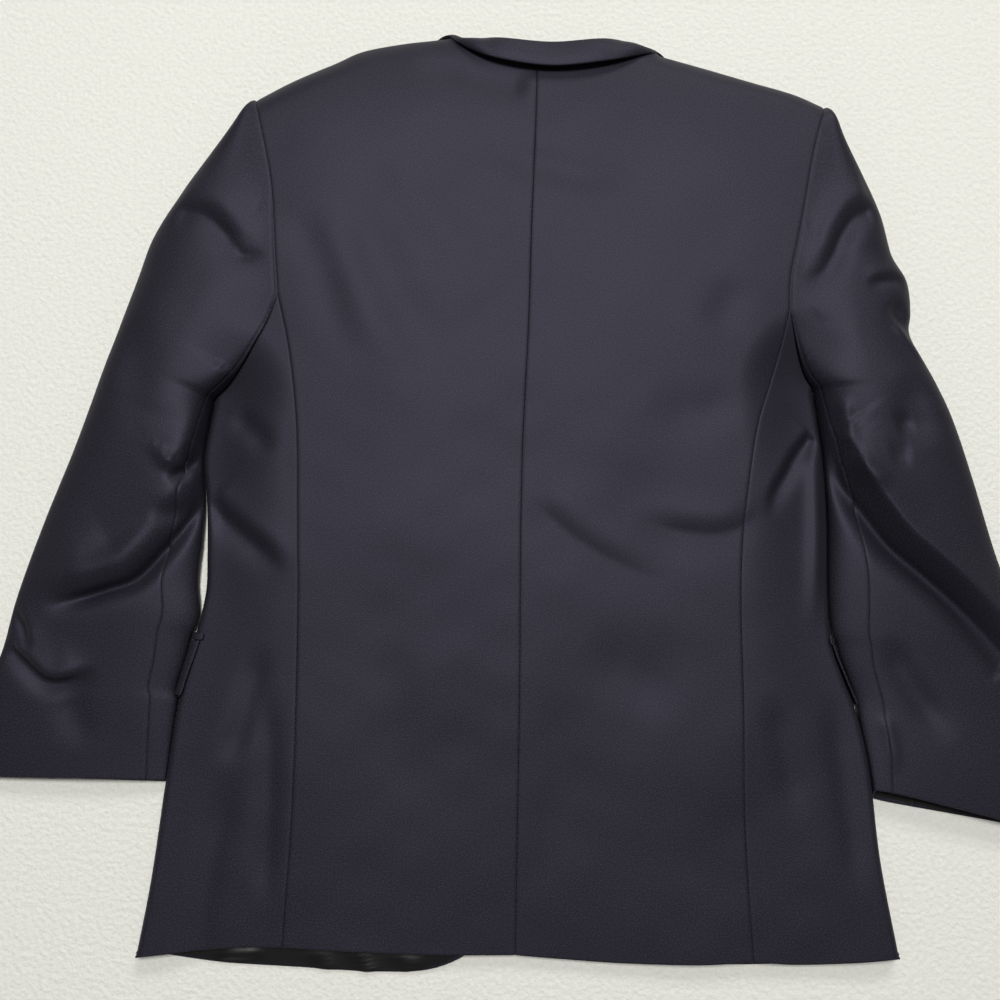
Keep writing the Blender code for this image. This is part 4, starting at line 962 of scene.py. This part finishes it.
@functools.cache
def satin_lining():
    """Black viscose satin: long floats in one direction, so smooth with a soft stretched gloss."""
    made, tree, place = blank_material("satin_lining", on_cloth=True)
    slub = noise(tree, place, 400.0)
    return finished(made, Base_Color=ramp(tree, slub, (0.3, linear("#0c0c0e")), (0.7, linear("#151518"))),
                    Normal=bumps(tree, slub, 0.15, 0.0001), Roughness=0.46, Specular_IOR_Level=0.42,
                    Anisotropic=0.4, Sheen_Weight=0.02)


@functools.cache
def dark_horn():
    """Dark buffalo horn: polished, slightly streaked by its growth."""
    made, tree, place = blank_material("polished_dark_horn")
    streaks = noise(tree, place, 260.0, 4.0, Distortion=1.5)
    colour = ramp(tree, streaks, (0.35, linear("#15130f")), (0.75, linear("#3a322a")))
    return finished(made, Base_Color=colour, Roughness=0.28, IOR=1.55, Coat_Weight=0.2, Coat_Roughness=0.15)


@functools.cache
def sewing_thread():
    """Twisted polyester sewing thread: a smooth, slightly shiny cord."""
    made, tree, place = blank_material("polyester_sewing_thread")
    twist = noise(tree, place, 2500.0)
    return finished(made, Base_Color=ramp(tree, twist, (0.3, linear("#1e1d26")), (0.7, linear("#343242"))),
                    Roughness=0.5, Sheen_Weight=0.1)


def pale_floor(colour):
    """A plain pale sheet, matt, with a faint mottle and a short pile."""
    made, tree, place = blank_material("pale_sheet")
    pale, dull = tuple(colour) + (1,), tuple(0.95 * c for c in colour) + (1,)
    tone = ramp(tree, noise(tree, place, 260.0, 4.0, Roughness=0.6), (0.4, dull), (0.6, pale))
    pile = noise(tree, place, 240.0, 4.0)
    return finished(made, Base_Color=tone, Normal=bumps(tree, pile, 0.7, 0.002), Roughness=0.9,
                    Specular_IOR_Level=0.2)

# ---- settings -------------------------------------------------------------------------------
class CoatCut(bpy.types.PropertyGroup):
    """Sizes of the cloth and its sewing."""
    thickness: bpy.props.FloatProperty(
        name="Cloth thickness", description="Wall of one piece of lined cloth",
        default=0.0018, min=0.0005, max=0.002, unit="LENGTH")
    step: bpy.props.FloatProperty(
        name="Grid step", description="Distance between points on the pieces that show",
        default=0.0029, min=0.001, max=0.02, unit="LENGTH")
    seam_gap: bpy.props.FloatProperty(
        name="Seam gap", description="Space between two sewn edges",
        default=0.00006, min=0.0, max=0.001, unit="LENGTH")
    seam_dip: bpy.props.FloatProperty(
        name="Seam dip", description="How far a sewn edge sinks into its seam",
        default=0.00045, min=0.0, max=0.002, unit="LENGTH")
    seam_reach: bpy.props.FloatProperty(
        name="Seam reach", description="How far from a seam its dip reaches",
        default=0.0012, min=0.0005, max=0.01, unit="LENGTH")
    mottle_size: bpy.props.FloatProperty(
        name="Mottle size", description="Size of the yarn's colour mottle",
        default=0.0011, min=0.0002, max=0.01, unit="LENGTH")
    wale_spacing: bpy.props.FloatProperty(
        name="Wale spacing", description="Distance between the twill's wales",
        default=0.0009, min=0.0003, max=0.01, unit="LENGTH")


class CoatStage(bpy.types.PropertyGroup):
    """The studio round the coat."""
    floor_size: bpy.props.FloatProperty(
        name="Floor size", description="Side of the square floor",
        default=6.0, min=1.0, max=20.0, unit="LENGTH")
    floor_colour: bpy.props.FloatVectorProperty(
        name="Floor colour", description="Colour of the pale sheet", subtype="COLOR", size=3,
        default=linear("#f6f5ec")[:3], min=0.0, max=1.0)
    window_power: bpy.props.FloatProperty(
        name="Window light", description="Power of the large soft light",
        default=235.0, min=0.0, max=2000.0, unit="POWER")
    ceiling_power: bpy.props.FloatProperty(
        name="Ceiling light", description="Power of the soft light overhead",
        default=72.0, min=0.0, max=2000.0, unit="POWER")
    front_power: bpy.props.FloatProperty(
        name="Front light", description="Power of the low light from the hem's side",
        default=10.0, min=0.0, max=2000.0, unit="POWER")
    fill: bpy.props.FloatProperty(
        name="Fill light", description="Strength of the even light all round", default=0.11, min=0.0, max=5.0)
    camera_height: bpy.props.FloatProperty(
        name="Camera height", description="Height of the camera",
        default=0.85, min=0.2, max=5.0, unit="LENGTH")
    camera_tilt: bpy.props.FloatProperty(
        name="Camera tilt", description="How far the camera leans from overhead",
        default=math.radians(8), min=0.0, max=1.5, subtype="ANGLE")


# ---- pieces ----------------------------------------------------------------------------------
def grid_step(coarser=1.0):
    """Distance between a piece's points, in mm."""
    return bpy.context.scene.coat_cut.step / MM * coarser


def cloth(node, surface, us, vs, rests_on=(), held="laid", **form):
    """Adds the cloth that stands for a solid, with its finish and its cut."""
    kind, _, side = node.rpartition("_")
    if side not in ("left", "right"):
        kind, name = node, f"{node}_cloth"
    else:
        name = f"{kind}_cloth_{side}"
    piece, area = shell(name, surface, us, vs, **form)
    piece.data.materials.append(worsted_wool())
    piece.data.materials.append(satin_lining())
    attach(piece, "root")
    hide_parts(node)


class SPORTCOAT_OT_back_panels(bpy.types.Operator):
    """Two back panels that meet at the centre seam"""
    bl_idname = "sport_coat.back_panels"
    bl_label = "Back panels"

    def execute(self, context):
        step = grid_step()
        for s, label in HALVES:
            surface, neck, arm = back_piece(s)
            cloth(f"back_{label}", surface, shares(225, step, stops=(neck,)),
                  shares(770, step, SHOULDER_STEPS, EDGE_STEPS, stops=(arm,)), [f"front_{label}"],
                  kinds=HEMMED, flip=s["side"] < 0, turn_up=HEM_TURN)
        return {"FINISHED"}


class SPORTCOAT_OT_side_panels(bpy.types.Operator):
    """Two side panels under the arms, each turned round the body's edge"""
    bl_idname = "sport_coat.side_panels"
    bl_label = "Side panels"

    def execute(self, context):
        step = grid_step()
        first, last = SIDE_TURN
        across = np.concatenate([first * shares(75, step, end=(0, 2)), np.linspace(first, last, 19)[1:-1],
                                 1 - (1 - last) * shares(5.5, 2, (0, 0.7, 1.5), (0, 1))[::-1]])
        for s, label in HALVES:
            cloth(f"side_{label}", side_piece(s), across, shares(490, step, end=EDGE_STEPS),
                  [f"front_{label}"], kinds=HEMMED, flip=s["side"] > 0, offset=SIDE_OFFSET, turn_up=HEM_TURN)
        return {"FINISHED"}


class SPORTCOAT_OT_front_panels(bpy.types.Operator):
    """Two fronts underneath, whose lined inner side shows below the back's hem"""
    bl_idname = "sport_coat.front_panels"
    bl_label = "Front panels"

    def execute(self, context):
        step = grid_step(HIDDEN_STEP)
        for s, label in HALVES:
            surface, arm = front_piece(s)
            # The black lining reaches almost to the front's hem and stands in for the shade below the back's
            # hem: partly painted shade.
            cloth(f"front_{label}", surface, shares(280, step, end=EDGE_STEPS),
                  shares(790, step, SHOULDER_STEPS, EDGE_STEPS, stops=(arm,)),
                  kinds=("seam", "edge", "seam", "edge"), flip=s["side"] > 0, turn_up=FRONT_TURN_PAINTED_SHADE)
        return {"FINISHED"}


class SPORTCOAT_OT_sleeves(bpy.types.Operator):
    """Two-piece sleeves that lie beside the body"""
    bl_idname = "sport_coat.sleeves"
    bl_label = "Sleeves"

    def execute(self, context):
        step = grid_step()
        under, upper = shares(430, grid_step(HIDDEN_STEP)), shares(430, step)
        across = np.concatenate([under[under < SLEEVE_UPPER], upper[upper >= SLEEVE_UPPER]])
        down = SLEEVE_TOP + (1 - SLEEVE_TOP) * shares(680, step, SHOULDER_STEPS, EDGE_STEPS)
        down_under = UNDER_SLEEVE_TOP + (1 - UNDER_SLEEVE_TOP) * shares(570, step, end=EDGE_STEPS)
        for s, label in HALVES:
            # The black lining reaches almost to the cuff's edge and stands in for the shade inside the cuffs:
            # partly painted shade.
            form = {"kinds": HEMMED, "flip": s["side"] < 0, "offset": SLEEVE_OFFSET, "turn_up": CUFF_TURN_PAINTED_SHADE}
            cloth(f"top_sleeve_{label}", sleeve_piece(s, "top"), across, down, **form)
            cloth(f"under_sleeve_{label}", sleeve_piece(s, "under"), shares(110, step), down_under, **form)
        return {"FINISHED"}


class SPORTCOAT_OT_lapels(bpy.types.Operator):
    """Notched lapels, pressed flat under the fronts"""
    bl_idname = "sport_coat.lapels"
    bl_label = "Lapels"

    def execute(self, context):
        step = grid_step(HIDDEN_STEP)
        for s, label in HALVES:
            cloth(f"lapel_{label}", lapel(s), shares(70, step, EDGE_STEPS, EDGE_STEPS),
                  shares(250, step, EDGE_STEPS, EDGE_STEPS), flip=s["side"] > 0, **PRESSED)
        return {"FINISHED"}


class SPORTCOAT_OT_collar(bpy.types.Operator):
    """The collar's fall over the back's neck, and the stand that carries it"""
    bl_idname = "sport_coat.collar"
    bl_label = "Collar"

    def execute(self, context):
        step = grid_step()
        form = {"rests_on": ["back_left", "back_right"], "held": "folded", **PRESSED}
        cloth("collar_fall", collar_fall(), shares(560, step, EDGE_STEPS, EDGE_STEPS),
              shares(40, 2.2, EDGE_STEPS, EDGE_STEPS), **form)
        cloth("collar_stand", collar_stand(), shares(150, step, EDGE_STEPS, EDGE_STEPS),
              shares(16, 2.2, (0, 1.5), (0, 1.5)), **form)
        return {"FINISHED"}


class SPORTCOAT_OT_pockets(bpy.types.Operator):
    """Flap pockets, whose ends come round the body's edge, each under its welt"""
    bl_idname = "sport_coat.pockets"
    bl_label = "Pocket flaps and welts"

    def execute(self, context):
        # The strip's middle is hidden, so two of three of its columns are left out there.
        us = shares(FLAP_LENGTH + 11, 1.6, (0, 1.2, 2.2), (0, 1.2, 2.2))
        us = us[(us < 0.2) | (np.arange(len(us)) % 3 == 0) | (us > 0.985)]
        for s, label in HALVES:
            top, bottom = s["flap_y"]
            form = {"rests_on": [f"front_{label}", f"side_{label}"], "held": "folded",
                    "flip": s["side"] > 0, "offset": FLAP_LAYER, **PRESSED}
            flap = flap_surface(s, top, bottom, s["flap_back"], FLAP_LENGTH, s["flap_slack"])
            cloth(f"pocket_flap_{label}", flap, us, shares(47, 3, (0, 1.2, 2.4), (0, 1.2, 2.4)), **form)
            back = (s["flap_back"][0] + 2,) * 2
            welt = flap_surface(s, top + WELT_DEPTH + SEAM, top + SEAM, back, FLAP_LENGTH, 0)
            cloth(f"pocket_welt_{label}", welt, us, shares(WELT_DEPTH, 1.5, (0, 1.0), (0, 1.0)), **form)
        return {"FINISHED"}


def button_blank(name, centre):
    """A turned button that looks down: a rounded rim round a dished middle, still without its holes."""
    mesh = bmesh.new()
    rings = []
    turns = [2 * math.pi * k / BUTTON_SIDES for k in range(BUTTON_SIDES)]
    for radius, z in BUTTON_PROFILE:
        rings.append([mesh.verts.new((centre[0] + radius * math.cos(a), centre[1] + radius * math.sin(a), z))
                      for a in turns])
    for lower, upper in zip(rings, rings[1:]):
        for k in range(BUTTON_SIDES):
            n = (k + 1) % BUTTON_SIDES
            mesh.faces.new((lower[k], upper[k], upper[n], lower[n]))
    mesh.faces.new(rings[0])
    mesh.faces.new(reversed(rings[-1]))
    bmesh.ops.recalc_face_normals(mesh, faces=mesh.faces)
    return mesh_object(name, mesh)


def mesh_object(name, mesh):
    data = bpy.data.meshes.new(name)
    mesh.transform(Matrix.Scale(MM, 4))
    mesh.to_mesh(data)
    mesh.free()
    return linked(name, data)


def plain_copy(piece):
    """Applies a piece's modifiers: the result is a plain mesh, with no modifier left on the piece."""
    graph = bpy.context.evaluated_depsgraph_get()
    done = bpy.data.meshes.new_from_object(piece.evaluated_get(graph))
    piece.modifiers.clear()
    piece.data = done


def thread_tree():
    """Geometry Nodes: lays a bar of thread along each edge of the path that it is given."""
    tree = bpy.data.node_groups.new("button_thread", "GeometryNodeTree")
    face = tree.interface
    face.new_socket(name="Path", in_out="INPUT", socket_type="NodeSocketGeometry")
    inputs = {}
    for label, kind, value in (
            ("Thread radius", "NodeSocketFloat", 0.0003), ("Round steps", "NodeSocketInt", 8),
            ("Strands", "NodeSocketInt", 4), ("Strand spacing", "NodeSocketFloat", 0.00042),
            ("Thread", "NodeSocketMaterial", None)):
        inputs[label] = face.new_socket(name=label, in_out="INPUT", socket_type=kind)
        if value is not None:
            inputs[label].default_value = value
    face.new_socket(name="Mesh", in_out="OUTPUT", socket_type="NodeSocketGeometry")
    given = add(tree, "NodeGroupInput").outputs
    curves = add(tree, "GeometryNodeMeshToCurve", {"Mesh": given["Path"]}).outputs["Curve"]
    round_line = add(tree, "GeometryNodeCurvePrimitiveCircle", {"Resolution": given["Round steps"],
                                                               "Radius": given["Thread radius"]})
    bar = add(tree, "GeometryNodeCurveToMesh", {"Curve": curves, "Profile Curve": round_line.outputs["Curve"],
                                                "Fill Caps": True})
    offset = add(tree, "ShaderNodeCombineXYZ", {"X": given["Strand spacing"]})
    shift = add(tree, "ShaderNodeMath", {0: given["Strands"], 1: -0.5, 2: 0.5}, operation="MULTIPLY_ADD")
    middle = add(tree, "ShaderNodeMath", {0: shift.outputs[0], 1: given["Strand spacing"]},
                 operation="MULTIPLY")
    start = add(tree, "ShaderNodeCombineXYZ", {"X": middle.outputs[0]})
    row = add(tree, "GeometryNodeMeshLine", {"Count": given["Strands"], "Start Location": start.outputs[0],
                                             "Offset": offset.outputs[0]})
    strands = add(tree, "GeometryNodeInstanceOnPoints", {"Points": row.outputs["Mesh"],
                                                         "Instance": bar.outputs["Mesh"]})
    real = add(tree, "GeometryNodeRealizeInstances", {"Geometry": strands.outputs["Instances"]})
    finish = add(tree, "GeometryNodeSetMaterial", {"Geometry": real.outputs["Geometry"],
                                                   "Material": given["Thread"]})
    add(tree, "NodeGroupOutput", {"Mesh": finish.outputs["Geometry"]})
    return tree, {label: socket.identifier for label, socket in inputs.items()}


def button_thread(name, centre):
    """Two bundles of thread, each down one hole, across the button's face and up the next."""
    path = bmesh.new()
    back_z, face_z, bend = BUTTON_HEIGHT - 0.3, BUTTON_DISH - 0.4, 0.5
    y0, y1 = centre[1] - BUTTON_HOLE_AT, centre[1] + BUTTON_HOLE_AT
    for side in (-1, 1):
        x = centre[0] + side * BUTTON_HOLE_AT
        points = [path.verts.new((x, y, z)) for y, z in (
            (y0, back_z), (y0, face_z + bend), (y0 + bend, face_z),
            (y1 - bend, face_z), (y1, face_z + bend), (y1, back_z))]
        for one, two in zip(points, points[1:]):
            path.edges.new((one, two))
    thread = mesh_object(name, path)
    tree, sockets = thread_tree()
    maker = thread.modifiers.new("thread", "NODES")
    maker.node_group = tree
    maker[sockets["Thread"]] = sewing_thread()
    plain_copy(thread)
    return thread


class SPORTCOAT_OT_buttons(bpy.types.Operator):
    """The two front buttons, which the coat lies on, each sewn on through four holes"""
    bl_idname = "sport_coat.buttons"
    bl_label = "Front buttons"

    def execute(self, context):
        for name, x, y in BUTTONS:
            button = button_blank(f"{name}_turned", (x, y))
            button.data.materials.append(dark_horn())
            drills = bmesh.new()
            for dx in (-BUTTON_HOLE_AT, BUTTON_HOLE_AT):
                for dy in (-BUTTON_HOLE_AT, BUTTON_HOLE_AT):
                    place = Matrix.Translation((x + dx, y + dy, 0))
                    bmesh.ops.create_cone(drills, cap_ends=True, segments=20, radius1=BUTTON_HOLE,
                                          radius2=BUTTON_HOLE, depth=4 * BUTTON_HEIGHT, matrix=place)
            drill = mesh_object(f"{name}_drill", drills)
            cutter = button.modifiers.new("holes", "BOOLEAN")
            cutter.operation, cutter.solver, cutter.object = "DIFFERENCE", "EXACT", drill
            plain_copy(button)
            bpy.data.objects.remove(drill)
            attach(button, "root")
            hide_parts(name)
            thread = button_thread(f"{name}_thread", (x, y))
            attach(thread, "root")
        return {"FINISHED"}


class SPORTCOAT_OT_stage(bpy.types.Operator):
    """A plain pale floor, a large soft window light and the camera"""
    bl_idname = "sport_coat.stage"
    bl_label = "Stage"

    def execute(self, context):
        scene, stage = context.scene, context.scene.coat_stage
        half = stage.floor_size / 2
        mesh = bpy.data.meshes.new("floor")
        mesh.from_pydata([(-half, -half, 0), (half, -half, 0), (half, half, 0), (-half, half, 0)], [],
                         [(0, 1, 2, 3)])
        mesh.materials.append(pale_floor(stage.floor_colour))
        linked("floor", mesh)

        for name, place, size, power in (("window", (1.9, 7.2, 5.0), (3.6, 2.4), stage.window_power),
                                         ("front", (-0.8, -4.6, 1.7), (2.4, 1.2), stage.front_power),
                                         ("ceiling", (0.0, 0.78, 3.2), (0.9, 0.9), stage.ceiling_power)):
            light = bpy.data.lights.new(name, "AREA")
            light.shape, light.size, light.size_y = "RECTANGLE", *size
            light.energy = power
            lamp = linked(name, light)
            lamp.location = place
            x, y, z = (-c for c in place)                # each light faces the middle of the floor
            lamp.rotation_euler = (math.atan2(math.hypot(x, y), -z), 0, math.atan2(y, x) - math.pi / 2)

        world = bpy.data.worlds.new("studio")
        world.use_nodes = True
        sky = world.node_tree.nodes["Background"]
        sky.inputs["Color"].default_value = (1, 1, 1, 1)
        sky.inputs["Strength"].default_value = stage.fill
        scene.world = world
        scene.view_settings.view_transform = "Standard"

        eye = bpy.data.cameras.new("camera")
        eye.lens, eye.sensor_width = 36, 36
        camera = linked("camera", eye)
        camera.location = (-0.009, -0.133, stage.camera_height)
        camera.rotation_euler = (stage.camera_tilt, 0, 0)
        scene.camera = camera
        return {"FINISHED"}


class SPORTCOAT_PT_panel(bpy.types.Panel):
    """The coat's settings and pieces"""
    bl_idname = "SPORTCOAT_PT_panel"
    bl_label = "Sport coat"
    bl_space_type = "VIEW_3D"
    bl_region_type = "UI"
    bl_category = "Sport coat"

    def draw(self, context):
        for group in (context.scene.coat_cut, context.scene.coat_stage):
            box = self.layout.box()
            for key in group.__annotations__:
                box.prop(group, key)
        for operator in OPERATORS:
            self.layout.operator(operator.bl_idname)


OPERATORS = (
    SPORTCOAT_OT_stage, SPORTCOAT_OT_back_panels, SPORTCOAT_OT_side_panels, SPORTCOAT_OT_front_panels,
    SPORTCOAT_OT_sleeves, SPORTCOAT_OT_lapels, SPORTCOAT_OT_collar, SPORTCOAT_OT_pockets,
    SPORTCOAT_OT_buttons,
)
CLASSES = (CoatCut, CoatStage, *OPERATORS, SPORTCOAT_PT_panel)


def register():
    for one in CLASSES:
        bpy.utils.register_class(one)
    bpy.types.Scene.coat_cut = bpy.props.PointerProperty(type=CoatCut)
    bpy.types.Scene.coat_stage = bpy.props.PointerProperty(type=CoatStage)


def unregister():
    del bpy.types.Scene.coat_stage
    del bpy.types.Scene.coat_cut
    for one in reversed(CLASSES):
        bpy.utils.unregister_class(one)


def main():
    """Builds the stage and every piece."""
    register()
    for operator in OPERATORS:
        group, name = operator.bl_idname.split(".")
        getattr(getattr(bpy.ops, group), name)()


if __name__ == "__main__":
    main()
